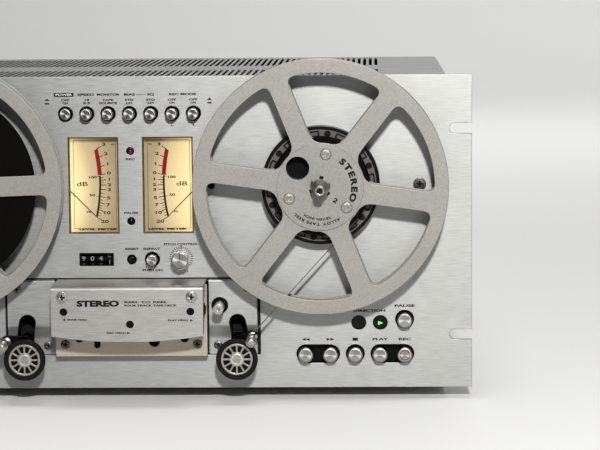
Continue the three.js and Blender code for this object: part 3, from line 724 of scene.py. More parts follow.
# Words on the panel: text, x, z, height and overall width.
WORDS = (
    ("SPEED", -30.5, 208.8, 1.6, 11.8), ("MONITOR", -14.8, 208.8, 1.6, 16.0),
    ("BIAS", 0.2, 208.8, 1.6, 7.8), ("EQ", 15.2, 208.8, 1.6, 4.6), ("REC MODE", 37.5, 208.8, 1.6, 19.0),
    ("OFF", -45, 205.0, 1.45, 6.0), ("19", -30, 205.0, 1.45, 3.2), ("TAPE", -15, 205.0, 1.45, 7.8),
    ("STD", 0, 205.0, 1.45, 6.2), ("STD", 15, 205.0, 1.45, 6.2), ("OFF", 30, 205.0, 1.45, 6.0),
    ("OFF", 45, 205.0, 1.45, 6.0),
    ("ON", -45, 202.8, 1.45, 3.8), ("9.5", -30, 202.8, 1.45, 5.0), ("SOURCE", -15, 202.8, 1.45, 13.0),
    ("LH", 0, 202.8, 1.45, 4.2), ("LH", 15, 202.8, 1.45, 4.2), ("ON", 30, 202.8, 1.45, 3.8),
    ("ON", 45, 202.8, 1.45, 3.8), ("L", 30, 187.0, 1.5, 1.3), ("R", 45, 187.0, 1.5, 1.5),
    ("REC", 0, 163.2, 1.35, 6.4), ("PAUSE", 0, 125.2, 1.35, 9.8),
    ("RESET", 0.2, 99.6, 1.45, 9.8), ("REPEAT", 14.2, 99.6, 1.45, 12.0), ("PUSH ON", 14.6, 84.4, 1.5, 14.2),
    ("PITCH CONTROL", 35, 102.8, 1.5, 24.5), ("DIRECTION", 167.6, 54.8, 1.7, 22.6),
    ("PAUSE", 192.5, 58.2, 1.7, 14.2), ("PLAY", 175, 34.4, 1.7, 11.0), ("REC", 192.6, 34.4, 1.7, 8.8),
    ("REC LEVEL", -130, 52.5, 1.6, 15.5), ("OUTPUT", -168, 52.5, 1.6, 12.0), ("L", -140.5, 18.2, 1.5, 1.3),
    ("R", -119.5, 18.2, 1.5, 1.5), ("MIC", -195, 46.2, 1.5, 6.0), ("PHONES", -206, 27.6, 1.5, 11.5),
)
KNOB_DIALS = (("record_level_knob", 15.0), ("output_level_knob", 11.5))
DIAL_SWEEP = 280
PITCH_TICKS = 11


def words(text, x, z, height, width, **settings):
    """Lettering stretched to an overall width."""
    mesh = lettering(text, 0, 0, height, 1.0, **settings)
    span = max(v.co.x for v in mesh.vertices) - min(v.co.x for v in mesh.vertices)
    mesh.transform(Matrix.Translation((x, 0, z)) @ Matrix.Diagonal((width / span, 1, 1, 1)))
    return mesh


def pitch_scale():
    x, z = KNOB_AT["pitch_knob"]
    marks = []
    for step in range(-PITCH_TICKS, PITCH_TICKS + 1):
        long = step == 0
        marks.append(printed([spoke_mark(x, z, 6.8, 9.3 if long else 8.5, 90 - step * 11.5,
                                         0.75 if long else 0.46)]))
    marks.append(printed([circle(x + 4.4, z - 9.2, 0.55, 16)]))
    return marks


def level_dials():
    """Even numbers from 0 to 10 round the level knobs."""
    marks = []
    for knob, radius in KNOB_DIALS:
        x, z = KNOB_AT[knob]
        for number in range(0, 11, 2):
            angle = 90 + DIAL_SWEEP / 2 - DIAL_SWEEP * number / 10
            marks.append(printed([spoke_mark(x, z, radius - 1.2, radius, angle, 0.3)]))
            marks.append(lettering(str(number), *polar(radius + 1.9, angle, x, z), 1.5, 1.2))
    return marks


def panel_print():
    marks = [words(*label) for label in WORDS]
    marks.append(printed([rectangle(-52.9, -39.1, 207.5, 210.2)]))
    marks.append(printed([rectangle(5.2, 11.4, 208.7, 209.0)]))
    for x in (-57.9, 56.4):
        marks.append(printed([triangle(x, 205.5, 3.6, 1.7)]))
        marks.append(printed([rectangle(x - 1.5, x + 1.5, 202.2, 203.2)]))
    for key, turn in (("rewind", 90), ("fast_forward", -90)):
        x = KEY_AT[key][0]
        for shift in (-1.35, 1.35):
            marks.append(printed([triangle(x + shift, 34.5, 2.1, 2.7, turn)]))
    stop = KEY_AT["stop"][0]
    marks.append(printed([rectangle(stop - 1.9, stop + 1.9, 33.4, 35.5)]))
    return merged(*marks, *pitch_scale(), *level_dials())


def lamp_dome():
    return lathe([(0, -1.0), (1.4, -0.8), (2.3, -0.2), (2.62, 0.6), (2.62, 3.9), (0, 3.9)], 32)


def jack_socket():
    nut = lathe([(2.6, -1.6), (5.0, -1.6), (5.6, 0), (2.6, 0)], 40, 0.2)
    sleeve = ring(2.35, 2.75, -1.2, 12, 32)
    return merged(nut, sleeve)


def make_panel():
    add("panel_plate", front_panel(), "panel", replaces=["front_panel"])
    add("key_liners", key_liners(), "black")
    add("counter_frame", counter_frame(), "black")
    add("panel_print", panel_print(), "ink")
    add("power_word", words("POWER", -46, 208.85, 1.5, 11.6, y=-0.05, bold=0.02), "white_ink")
    lamp = lamp_dome()
    add("rec_lamp", lamp, "red_lens", at=(LAMPS[0][0], 0, LAMPS[0][1]))
    add("pause_lamp", lamp, "gloss_black", at=(LAMPS[1][0], 0, LAMPS[1][1]))
    window = lathe([(0, 0.5), (4.9, 0.5), (5.05, -0.1), (5.07, 3.9), (0, 3.9)], 48)
    for i, (x, z) in enumerate(DIRECTION_WINDOWS):
        add(f"direction_window_{i + 1}", window, "gloss_black", at=(x, 0, z))
    x, z = DIRECTION_WINDOWS[1]
    add("direction_arrow", plate([triangle(x + 0.2, z - 0.4, 2.7, 3.4, -90)], 0.4, 0.6, 0.0), "green_glow")
    plug = lathe([(0, 0.4), (2.2, 0.4), (2.45, 0), (2.45, 3.9), (0, 3.9)], 32)
    for side, (x, z) in zip(("left", "right"), TAPE_SENSORS):
        add(f"{side}_sensor", plug, "gloss_black", at=(x, 0, z))
    add_screws("panel_screws", 4.5, 1.9, [(x, 0, z) for x, z in PANEL_SCREWS], "dark_chrome",
               recess=0.5, dome=0.2)
    jack = jack_socket()
    bore = ring(0, 2.4, 1.5, 12, 24)
    for i, (x, z) in enumerate(JACKS):
        add(f"jack_{i + 1}", jack, "chrome", at=(x, 0, z))
        add(f"jack_bore_{i + 1}", bore, "black", at=(x, 0, z))


make_panel()

# ---- keys and knobs


def key_cap(node_name):
    """A turned cap with a shallow dish, on its black stem; sizes come from the CAD key."""
    low, high = corners(node_name)
    radius = (high.x - low.x) / 2 - 0.35
    front = low.y
    cap = lathe([(0, front + 0.25), (radius * 0.82, front), (radius, front + 0.35), (radius, 1.5), (0, 1.5)],
                56, 0.25)
    stem = ring(0, 2.3, 1.4, 14, 24)
    return cap, stem


def make_keys():
    made = {}
    for key in TOP_KEYS + TRANSPORT_KEYS + ("repeat", "reset"):
        name = key + "_button"
        low, high = corners(name)
        shape = (round(high.x - low.x, 1), round(low.y, 1))
        if shape not in made:
            made[shape] = key_cap(name)
        cap, stem = made[shape]
        x, z = KEY_AT[key]
        finish = "gloss_black" if key == "reset" else "spun"
        add(f"{key}_cap", cap, finish, name, (x, 0, z), replaces=[name])
        add(f"{key}_stem", stem, "black", name, (x, 0, z))
    x, z = KEY_AT["record"]
    front = corners("record_button")[0].y
    add("record_ring", ring(3.1, 3.6, front - 0.08, front + 0.5, 48), "red_ink", "record_button", (x, 0, z))


def knurled(radius, y0, y1, teeth, depth):
    """A knob's rim with straight knurls along its axis."""
    points = []
    for i in range(teeth):
        for share, inset in ((0.0, 0.0), (0.5, 0.0), (0.62, depth), (0.88, depth)):
            a = 2 * math.pi * (i + share) / teeth
            points.append(((radius - inset) * math.cos(a), (radius - inset) * math.sin(a)))
    return plate([points], y0, y1, 0.12)


def make_knobs():
    for name in KNOBS:
        low, high = corners(name)
        radius = (high.x - low.x) / 2
        front = low.y
        x, z = KNOB_AT[name]
        at = (x, 0, z)
        face = lathe([(0, front + 0.3), (radius * 0.86, front), (radius * 0.94, front + 0.5),
                      (radius * 0.94, -1.2), (0, -1.2)], 64, 0.3)
        grip = merged(knurled(radius, front + 1.2, -1.4, round(radius * 6.5), 0.25),
                      ring(0, 2.9, -1.6, 16, 24))
        mark = plate([rectangle(-0.3, 0.3, radius * 0.2, radius * 0.86)], front - 0.08, front + 0.6, 0.0)
        add(f"{name}_face", face, "spun", name, at, replaces=[name])
        add(f"{name}_grip", grip, "chrome", name, at)
        add(f"{name}_mark", mark, "ink", name, at)
        if name == "record_level_knob":
            seam = ring(radius * 0.6, radius * 0.63, front - 0.02, front + 0.6, 64)
            add("record_level_seam", seam, "ink", name, at)


make_keys()
make_knobs()

# ---- level meters

CARD_Y = 10.0
NEEDLE_PIVOT = (47.0, 143.4)
NEEDLE_LENGTH = 29.9
LABEL_LEAN = 0.65  # the printed ticks lean this share of the needle's angle
SCALE_MIDDLE = 146.0
SCALE_X = 22.6
SCALE_BOW = 2.7
SCALE_HALF = 24.0
# The decibel marks with the needle's angle at each, and the plain ticks between them.
DECIBELS = (("3", 50), ("2", 41), ("1", 29.5), ("0", 18), ("1", 9.5), ("2", 1.6), ("3", -5.4), ("5", -17),
            ("7", -26.3), ("10", -36), ("20", -45.7))
PLAIN_TICKS = (13.5, 5.5, -11.5, -22, -30, -33.2, -39.5, -42.5)
PER_CENT = (("100", 16.5), ("50", -17.5))


def scale_point(angle, past=0.0):
    """Where the needle at `angle` crosses the scale, or `past` millimetres beyond it."""
    pivot_x, pivot_z = NEEDLE_PIVOT
    x, z = SCALE_X, SCALE_MIDDLE
    for _ in range(12):
        z = pivot_z + (pivot_x - x) * math.tan(math.radians(angle))
        x = SCALE_X + SCALE_BOW * ((z - SCALE_MIDDLE) / SCALE_HALF) ** 2
    a = math.radians(angle * LABEL_LEAN)
    return x - past * math.cos(a), z + past * math.sin(a)


def scale_band(start, end, width, steps=14):
    """A bowed band along the scale between two needle angles."""
    near, far = [], []
    for i in range(steps + 1):
        angle = start + (end - start) * i / steps
        near.append(scale_point(angle, -width / 2))
        far.append(scale_point(angle, width / 2))
    return near + far[::-1]


def scale_tick(angle, start, end, width=0.28):
    (x0, z0), (x1, z1) = scale_point(angle, start), scale_point(angle, end)
    side = Vector((z1 - z0, x0 - x1)).normalized() * width / 2
    return [(x0 - side.x, z0 - side.y), (x1 - side.x, z1 - side.y), (x1 + side.x, z1 + side.y),
            (x0 + side.x, z0 + side.y)]


def meter_print(side):
    """The meter's black printing; side is -1 for the left one. The words are never mirrored."""
    def flat(points):
        return printed([points if side > 0 else mirrored(points)], CARD_Y)

    marks = [flat(scale_band(17, -45.7, 1.35))]
    for label, angle in DECIBELS:
        marks.append(flat(scale_tick(angle, 0.4, 4.2, 0.5)))
        x, z = scale_point(angle, 6.6)
        marks.append(lettering(label, side * x, z, 2.1, 1.9, CARD_Y, 0.04))
    marks += [flat(scale_tick(angle, 0.4, 2.6, 0.4)) for angle in PLAIN_TICKS]
    for label, angle in PER_CENT:
        marks.append(flat(scale_tick(angle, -2.2, -0.5, 0.36)))
        x, z = scale_point(angle, -5.4)
        marks.append(lettering(label, side * x, z, 1.7, 1.8, CARD_Y, 0.04))
    marks.append(lettering("dB", side * 35.4, 144.8, 3.1, 1.8, CARD_Y, 0.01))
    marks.append(lettering("0%", side * 31.0, 125.0, 1.4, 1.4, CARD_Y, 0.03))
    marks.append(words("LEVEL METER", side * 24.6, 112.6, 1.3, 27.5, y=CARD_Y, bold=0.08))
    marks.append(lettering("VU", side * 13.2, 173.0, 1.2, 1.3, CARD_Y))
    return merged(*marks)


def meter_frame(inset, width, y0, y1):
    x0, x1, z0, z1 = METER_WINDOW
    outer = rectangle(x0 + inset, x1 - inset, z0 + inset, z1 - inset, 0.3)
    inset += width
    inner = rectangle(x0 + inset, x1 - inset, z0 + inset, z1 - inset, 0.2)
    return plate([outer, inner], y0, y1, 0.1)


def make_meters():
    for name, side in SIDES:
        low, high = corners(name + "_meter")
        x0, x1 = sorted((abs(low.x), abs(high.x)))
        walls = [rectangle(x0, x1, low.z, high.z, 0.5),
                 rectangle(x0 + 1.8, x1 - 1.4, low.z + 2, high.z - 2, 0.3)]
        housing = merged(plate(walls, low.y, 12, 0.15), block(x0, x1, 12, high.y, low.z, high.z, 1.0, 1.5))
        card = plate([rectangle(x0 + 1.8, x1 - 1.4, low.z + 2, high.z - 2)], CARD_Y, CARD_Y + 0.4, 0.0)
        add(f"{name}_meter_housing", on_side(housing, side), "black", replaces=[f"{name}_meter"])
        middle = side * (x0 + x1) / 2
        shift = Matrix.Translation((-middle, 0, -SCALE_MIDDLE))
        card = on_side(card, side)
        card.transform(shift)
        add(f"{name}_meter_card", card, f"{name}_card", at=(middle, 0, SCALE_MIDDLE))
        add(f"{name}_meter_print", meter_print(side), "ink")
        red = printed([scale_band(50, 18, 3.0)], CARD_Y - 0.01)
        add(f"{name}_meter_red_zone", on_side(red, side), "red_ink")
        frames = merged(meter_frame(-0.05, 0.9, 3.4, 4.25), meter_frame(-0.3, 0.7, 4.25, CARD_Y),
                        meter_frame(2.5, 0.3, CARD_Y - 0.15, CARD_Y))
        add(f"{name}_meter_bezel", on_side(frames, side), "bezel")
        pointer = [(0, 0.36), (NEEDLE_LENGTH, 0.2), (NEEDLE_LENGTH, -0.2), (0, -0.36)]
        needle = merged(plate([pointer], 8.55, 8.8, 0.0), ring(0, 2.2, 8.1, 11.4, 32))
        angle = -45 if side < 0 else 225
        x, z = side * NEEDLE_PIVOT[0], NEEDLE_PIVOT[1]
        add(f"{name}_pointer", moved(needle, turn=angle), "ink", f"{name}_needle", (x, 0, z),
            replaces=[f"{name}_needle"])


make_meters()

# ---- tape counter

WHEEL_PITCH = 6.15
WHEEL_X = -34.7
COUNTER_READING = (9, 0, 4, 0)


def make_counter():
    low, high = corners("counter_wheels")
    y, z = (low.y + high.y) / 2, (low.z + high.z) / 2
    radius = (high.z - low.z) / 2
    rim = [(0, -2.6), (radius - 0.3, -2.6), (radius - 0.3, 2.6), (0, 2.6)]
    along_x = spin(90, "Z")
    wheels, digits = [], []
    for place, reading in enumerate(COUNTER_READING):
        x = WHEEL_X + WHEEL_PITCH * place
        wheel = lathe(rim, 60, 0.25)
        wheel.transform(Matrix.Translation((x, 0, 0)) @ along_x)
        wheels.append(wheel)
        for digit in range(10):
            mark = lettering(str(digit), x, 0, 3.3, 1.25, -(radius - 0.29), bold=0.02)
            steps = digit - reading - (0.5 if place == 3 else 0.0)
            mark.transform(spin(36 * steps, "X"))
            digits.append(mark)
    axle = ring(0, 7, -12, 12, 32)
    axle.transform(Matrix.Translation((-25.3, 0, 0)) @ along_x)
    at = (0, y, z)
    add("counter_drums", merged(*wheels, axle), "black", "counter_wheels", at, replaces=["counter_wheels"])
    add("counter_digits", merged(*digits), "dim_ink", "counter_wheels", at)


make_counter()

# ---- head block, guide plates and capstan

COVER_FRONT = -41.0
COVER_TOP = 78.4
COVER_HALF = 52.7
COVER_SIDE = 44.3
COVER_MIDDLE = 39.9
COVER_WALL = 1.5
COVER_HOLES = ((-44, 61), (44, 61), (2, 52.1))
BASE_FRONT = -12.0
ARM_PIVOT = (24.5, 35.0)
ARM_REACH = 51.5
ARM_SLOT = (-8, 14.2)


def bezier(p0, p1, p2, p3, steps=16):
    points = []
    for i in range(steps + 1):
        t = i / steps
        shares = ((1 - t) ** 3, 3 * t * (1 - t) ** 2, 3 * t * t * (1 - t), t ** 3)
        points.append(tuple(sum(s * p[k] for s, p in zip(shares, (p0, p1, p2, p3))) for k in range(2)))
    return points


def head_cover():
    """A bent sheet whose lower edge bows down, with a flange at each side."""
    sheet = bent_sheet([(-0.5, COVER_TOP), (COVER_FRONT, COVER_TOP), (COVER_FRONT, 36)], COVER_WALL, 2.6)
    shell = swept(sheet, -COVER_HALF, COVER_HALF)
    half = bezier((-COVER_HALF - 1, COVER_SIDE), (-30, COVER_MIDDLE), (-12, COVER_MIDDLE), (0, COVER_MIDDLE))
    edge = half + mirrored(half)[1:]
    cutter = merged(plate([[(-60, 30)] + edge + [(60, 30)]], -45, -30, 0),
                    *(plate([circle(x, z, 2.7, 32)], -45, -30, 0) for x, z in COVER_HOLES))
    shell = carved(shell, cutter, 0.3)
    lip = 0.06
    flange = rounded([(COVER_FRONT + lip, COVER_TOP - lip), (COVER_FRONT + lip, COVER_SIDE + 0.3),
                      (-30, COVER_SIDE + 0.3), (-30, 70), (BASE_FRONT - 0.4, 70),
                      (BASE_FRONT - 0.4, COVER_TOP - lip)], 2.2)
    sides = [plate([flange], x0, x0 + COVER_WALL, 0.2, "x")
             for x0 in (-COVER_HALF + lip, COVER_HALF - COVER_WALL - lip)]
    return merged(shell, *sides)


# Words on the head cover: text, x, z, height, width and boldness. Arrows: x, z and turn.
COVER_WORDS = (
    ("STEREO", -20, 66.6, 3.9, 29.5, 0.08), ("REEL TO REEL", 13.2, 67.7, 1.3, 30, 0.055),
    ("FOUR TRACK TAPE DECK", 16.4, 65.3, 1.3, 36.4, 0.055), ("ERASE HEAD", -34.6, 55.6, 1.2, 14, 0.055),
    ("PLAY HEAD", 35.4, 54.9, 1.2, 14, 0.055), ("REC HEAD", -7.4, 46.2, 1.2, 13.6, 0.055),
)
COVER_ARROWS = ((-43.8, 55.6, 90), (44.9, 54.9, -90), (1.0, 46.2, -90))


def cover_print():
    marks = [words(*label, y=COVER_FRONT, bold=bold) for *label, bold in COVER_WORDS]
    marks += [printed([triangle(x, z, 1.7, 2.1, turn)], COVER_FRONT) for x, z, turn in COVER_ARROWS]
    return merged(*marks)


def head_base():
    """The raised plate behind the heads, with the openings at its lower edge."""
    slot = [(-26.4, 46), (-26.4, 33)] + arc(-24.2, 33, 2.2, 180, 360, 12) + [(-22, 46)]
    half_round = [(12.3, 46)] + arc(16.1, 35.5, 3.8, 180, 360, 16) + [(19.9, 46)]
    holes = [circle(-36.9, 38, 3, 32), circle(37.4, 38, 3.1, 32), slot, half_round]
    face = plate([rectangle(-53.6, 53.6, 24.9, 75.7, 0.8)] + holes, BASE_FRONT, -9, 0.3, steps=2)
    walls = [rectangle(-53.6, 53.6, 24.9, 75.7, 0.8), rectangle(-51.6, 51.6, 26.9, 73.7, 0.4)]
    return face, plate(walls, -9.01, 5.6, 0.1)


def guide_plate(side):
    """A bent sheet with the arm's curved slot, and the capstan's hole on the right."""
    path = [(5.6, 78.2), (-4, 78.2), (-4, 45), (-1, 37), (-1, 24.6)]
    sheet = swept(bent_sheet(path, 1.5, 1.6), 54.6, 88.4)
    tools = [plate([arm_slot(6.0)], -8, 4, 0)]
    if side > 0:
        tools.append(plate([circle(*CAPSTAN_AT, 5.95, 48)], -8, 4, 0))
    return on_side(carved(sheet, merged(*tools), 0.25), side)


def arm_slot(half):
    """The outline of the slot that the arm's pin swings in."""
    x, z = ARM_PIVOT
    start, end = ARM_SLOT

    def cap(angle, first):
        return arc(*polar(ARM_REACH, angle, x, z), half, first, first + 180, 14)

    return (arc(x, z, ARM_REACH + half, start, end, 10) + cap(end, end)
            + arc(x, z, ARM_REACH - half, end, start, 10) + cap(start, start + 180))


def make_transport():
    add("head_cover_shell", head_cover(), "cover", replaces=["head_cover"])
    add("head_cover_print", cover_print(), "ink")
    face, walls = head_base()
    add("head_base_plate", face, "champagne", replaces=["head_base"])
    # The base's side walls, a sheet behind its openings, a sheet across its back and discs behind the cover's
    # holes are black as painted shade.
    back = [plate([rectangle(-45, 45, 28, 60)], -8.8, -8.3, 0.0),
            plate([rectangle(-40, 40, 26.95, 73.65)], 4.9, 5.5, 0)]
    back += [plate([circle(x, z, 4.2, 32)], COVER_FRONT + 1.55, COVER_FRONT + 1.9, 0.0)
             for x, z in COVER_HOLES]
    add("head_base_shade_sheets", merged(walls, *back), "black")
    add_screws("cover_screws", 3.9, 1.5, [(x, COVER_FRONT, 71.3) for x in (-44.8, 44.8)])
    add_screws("base_screws", 3.2, 1.3, [(x, BASE_FRONT, 33.5) for x in (-46.6, 46.6)], "dark_chrome")
    add_screws("guide_screws", 3.0, 1.2, [(side * x, y, z) for x, y, z in ((81.6, -4, 72.1), (60.4, -1, 30.9))
                                          for side in (-1, 1)], "dark_chrome")
    # Black sheets behind the arm slots, as painted shade of the deck's inside.
    slot_shade_sheet = plate([rectangle(54, 96, 18, 56)], 17, 17.5, 0.0)
    add("slot_shade_sheets", merged(slot_shade_sheet, flipped(slot_shade_sheet)), "ink")
    x0, x1, z0, z1 = RECESS
    rims = [rectangle(x0 + 0.05, x1 - 0.05, z0 + 0.05, z1 - 0.05, 0.8),
            rectangle(x0 + 1.7, x1 - 1.7, z0 + 0.7, z1 - 0.7, 0.3)]
    add("recess_liner", plate(rims, -0.1, 5.5, 0.05), "ink")
    for name, side in SIDES:
        add(f"{name}_guide_sheet", guide_plate(side), "panel", replaces=[f"{name}_guide_plate"])
        liner = plate([arm_slot(5.95), arm_slot(5.0)], -3.2, 5.8, 0.1)
        add(f"{name}_slot_liner", on_side(liner, side), "black")
    x, z = CAPSTAN_AT
    low, high = corners("capstan")
    shaft = lathe([(0, low.y + 1.2), (1.0, low.y), (3.7, low.y), (3.7, high.y), (0, high.y)], 48, 0.3)
    collar = ring(4.1, 5.8, -4.2, 3.5, 48, 0.2)
    add("capstan_shaft", shaft, "screw", "capstan", (x, 0, z), replaces=["capstan"])
    add("capstan_collar", collar, "black", at=(x, 0, z))
    make_pinch()
    make_heads()


def make_pinch():
    pivot, at = corners("pinch_arm"), centre("pinch_roller")
    base = ((pivot[0].x + pivot[1].x) / 2, 0, 46.0)
    rise = at[1] - base[2]
    bar = arc(0, 0, 3.9, 180, 360, 16) + arc(0, rise, 2.9, 0, 180, 16)
    arm = merged(plate([bar], -14.7, -12.4, 0.3), ring(0, 1.9, -15.2, -14.5, 24, 0.1),
                 ring(0, 1.5, -28.9, -14.5, 24, 0.2, z=rise))
    rubber = ring(3.4, 7.95, -27.9, -15.3, 56, 0.4)
    core = ring(2, 3.35, -28, -15.2, 40, 0.2)
    add("pinch_lever", arm, "steel", "pinch_arm", base, replaces=["pinch_arm"])
    add("pinch_rubber", rubber, "rubber", "pinch_roller", (at[0], 0, at[1]), replaces=["pinch_roller"])
    add("pinch_core", core, "chrome", "pinch_roller", (at[0], 0, at[1]))


def tape_head(width):
    """A screened head: a box with a rounded nose, and its gap."""
    half = width / 2
    right = [(half * 0.55, -33.4), (half, -27), (half, -12.4)]
    outline = mirrored(right) + right
    body = plate([rounded(outline, 1.6)], -6.5, 6.3, 0.3, "z")
    gap = plate([rectangle(-0.15, 0.15, -33.46, -33.0)], -3.3, 3.3, 0.0, "z")
    return body, gap


HEAD_Z = 57


def make_heads():
    for name, x, width in (("erase_head", -33, 10), ("record_head", -12, 14), ("play_head", 10, 14),
                           ("reverse_head", 29, 10)):
        body, gap = tape_head(width)
        at = (x, 0, HEAD_Z)
        add(f"{name}_shield", body, "chrome", at=at, replaces=[name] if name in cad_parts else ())
        add(f"{name}_gap", gap, "ink", at=at)


CAPSTAN_AT = centre("capstan")
make_transport()

# ---- tension arms, posts and rollers

LEVER = (-10.4, -7.6)


def lever(start, end, half, y0, y1):
    turn = math.degrees(math.atan2(end[1] - start[1], end[0] - start[0]))
    outline = arc(*end, half, turn - 90, turn + 90, 14) + arc(*start, half, turn + 90, turn + 270, 14)
    return plate([outline], y0, y1, 0.35)


def tension_arm(roller, post):
    """The arm's black steel work, about its pivot."""
    pin = (ARM_REACH, 0)
    return merged(ring(0, 3, 6.3, 16, 24, 0.2),
                  ring(0, 7, 8.4, 15.9, 32, 0.4),
                  lever((0, 0), pin, 4.4, 8.35, 10.9), ring(0, 3.9, -8, 10, 32, x=pin[0]),
                  lever(pin, roller, 4.4, *LEVER), lever(pin, post, 4.3, *LEVER))


def make_arms():
    for name, side in SIDES:
        at = (side * ARM_PIVOT[0], 0, ARM_PIVOT[1])
        roller_x, roller_z = centre(f"{name}_roller")
        roller = (side * roller_x - ARM_PIVOT[0], roller_z - ARM_PIVOT[1])
        post = POSTS[name]
        arm = tension_arm(roller, post)
        body = f"{name}_tension_arm"
        add(f"{name}_arm_levers", on_side(arm, side), "black", body, at, replaces=[body])
        spool = lathe([(0, -37.5), (2.0, -37.5), (3.8, -36.4), (3.8, -35.6), (2.6, -34.6), (2.6, -30.2),
                       (3.8, -29.2), (3.8, -28.5), (1.9, -28.3), (1.9, -12.8), (3.4, -12.6), (3.4, -10.2),
                       (0, -10.2)], 48, 0.25)
        spool = moved(spool, post[0], 0, post[1])
        pin = ring(0, 1.9, -26.1, -9, 24, x=roller[0], z=roller[1])
        steel = merged(spool, pin)
        add(f"{name}_guide_post", on_side(steel, side), "screw", body, at)
        make_roller(name, (roller_x, 0, roller_z))


ROLLER_WINDOWS = 12
TREAD_RADIUS = 14.5
TREAD_NOTCH = 0.994


def make_roller(name, at):
    """Rubber-rimmed roller: silver disc with twelve windows, hub and screw cap."""
    tread = lathe([(11.2, -27.3), (11.6, -27.8), (14.1, -27.8), (14.65, -27.2), (14.65, -25.3), (14.1, -24.8),
                   (11.2, -24.8)], 96, 0.2)
    for k, vertex in enumerate(tread.vertices):
        if math.hypot(vertex.co.x, vertex.co.z) > TREAD_RADIUS and k % 2:
            vertex.co.x *= TREAD_NOTCH
            vertex.co.z *= TREAD_NOTCH
    window = rounded([(5.1, -0.75), (9.5, -1.8), (9.5, 1.8), (5.1, 0.75)], 0.35, 3)
    holes = [rotated(window, 360 * (i + 0.5) / ROLLER_WINDOWS) for i in range(ROLLER_WINDOWS)]
    disc = plate([circle(0, 0, 11.15, 96)] + holes, -27.5, -26.2, 0.22, steps=2)
    rim = ring(9.9, 11.1, -27.72, -26.4, 96, 0.25)
    drum = lathe([(2.3, -25), (9.9, -25), (9.9, -16.4), (12.4, -16.4), (12.4, -15), (2.3, -15)], 96, 0.3)
    hub = merged(drum,
                 ring(2.3, 11.1, -26, -24.9, 96, 0.1))
    cap = lathe([(0, -27.0), (2.9, -27.0), (3.0, -27.6), (4.1, -27.6), (4.4, -27.2), (4.4, -26), (0, -26)],
                40, 0.12)
    body = f"{name}_roller"
    add(f"{name}_roller_tread", tread, "rubber", body, at, replaces=[body])
    add(f"{name}_roller_disc", merged(disc, rim), "roller", body, at)
    add(f"{name}_roller_hub", hub, "black", body, at)
    add(f"{name}_roller_cap", cap, "chrome", body, at)
    add_screws(f"{name}_roller_screw", 2.5, 0.7, [(0, -26.9, 0)], "screw", body=body, at=at)


POSTS = {"left": (64.1, 0.2), "right": (60.9, 3.5)}
make_arms()

# ---- reels, tables and spindle locks

FLANGE_RADIUS = 88.9
HUB_PLATE = 30.0
WINDOW_RADII = (31.0, 79.0)
SPOKE_HALF = 7.0
SPOKES = 6
TURNS = {"supply": 2.0, "takeup": -8.0}
THREADING_HOLE = (-15.5, 13.4, 8.0)
REEL_SCREWS = (80, 200, 322)
SCREW_RING = 23
HUB_FACE = -29.0
FRONT_DISC = (-28, -26.6)
REAR_DISC = (-16, -14.62)
TAPE_SPAN = (-24.1, -17.9)
LOCK_NOTCHES = (82, 202, 322)
LOCK_FINS = (22, 142, 262)


def corner_curve(before, corner, after, steps=6):
    p0, p1, p2 = Vector(before), Vector(corner), Vector(after)
    return [tuple(p0 * (1 - t) ** 2 + p1 * 2 * t * (1 - t) + p2 * t * t)
            for t in (i / steps for i in range(steps + 1))]


def flange_window(middle):
    """One window between two spokes, round `middle` degrees."""
    r_in, r_out = WINDOW_RADII
    inner_corner, outer_corner = 7.5, 6.0

    def half(radius):
        return math.pi / SPOKES - math.asin(SPOKE_HALF / radius)

    def at(radius, angle):
        return radius * math.cos(angle), radius * math.sin(angle)

    m = math.radians(middle)
    outer = half(r_out) - outer_corner / r_out
    inner = half(r_in) - inner_corner / r_in
    edge, rim = r_in + inner_corner, r_out - outer_corner
    points = [at(r_out, m - outer + 2 * outer * i / 20) for i in range(21)]
    points += corner_curve(points[-1], at(r_out, m + half(r_out)), at(rim, m + half(rim)))
    points += corner_curve(at(edge, m + half(edge)), at(r_in, m + half(r_in)), at(r_in, m + inner))
    points += [at(r_in, m + inner - 2 * inner * i / 8) for i in range(1, 8)]
    points += corner_curve(at(r_in, m - inner), at(r_in, m - half(r_in)), at(edge, m - half(edge)))
    return points + corner_curve(at(rim, m - half(rim)), at(r_out, m - half(r_out)), points[0])[:-1]


def flange(turn, y0, y1, holes):
    windows = [flange_window(turn + 30 + 360 * i / SPOKES) for i in range(SPOKES)]
    return plate([circle(0, 0, FLANGE_RADIUS, 192)] + windows + holes, y0, y1, 0.45, steps=3)


def bore_outline():
    """The spindle bore with the three notches that the lock's fins pass."""
    points = []
    half, bore, reach = 1.2, 5.0, 7.8
    tilt = math.degrees(math.asin(half / bore))
    for middle in LOCK_NOTCHES:
        points += rotated([(reach, -half), (reach, half)], middle)
        points += arc(0, 0, bore, middle + tilt, middle + 120 - tilt, 12)
    return points


def hub_plate():
    holes = [bore_outline(), circle(*THREADING_HOLE, 48)]
    holes += [circle(*polar(SCREW_RING, a), 3.95, 40) for a in REEL_SCREWS]
    return plate([circle(0, 0, HUB_PLATE, 128)] + holes, HUB_FACE, -26.9, 0.22, steps=2)


def arc_text(text, radius, middle, height, width, bold):
    """Letters round an arc, each standing outward; width is the arc's length in millimetres."""
    letters = [lettering(c, 0, 0, height, 1.3, bold=bold) if c != " " else None for c in text]
    spans = [max(v.co.x for v in m.vertices) - min(v.co.x for v in m.vertices) if m else height * 0.55
             for m in letters]
    gap = (width - sum(spans)) / max(1, len(text) - 1)
    place, made = -width / 2, []
    for mesh, span in zip(letters, spans):
        angle = middle - math.degrees((place + span / 2) / radius)
        place += span + gap
        if mesh:
            x, z = polar(radius, angle)
            made.append(moved(mesh, x, HUB_FACE, z, turn=angle - 90))
    return merged(*made)


# Words round the hub: text, radius, middle angle, height, length along the arc and boldness.
REEL_WORDS = (("STEREO", 23.4, 14, 4.2, 32.0, 0.075), ("ALLOY TAPE REEL", 25.4, -96, 1.9, 34.0, 0.06),
              ("SEVEN INCH", 22.0, -96, 1.7, 19.0, 0.06))


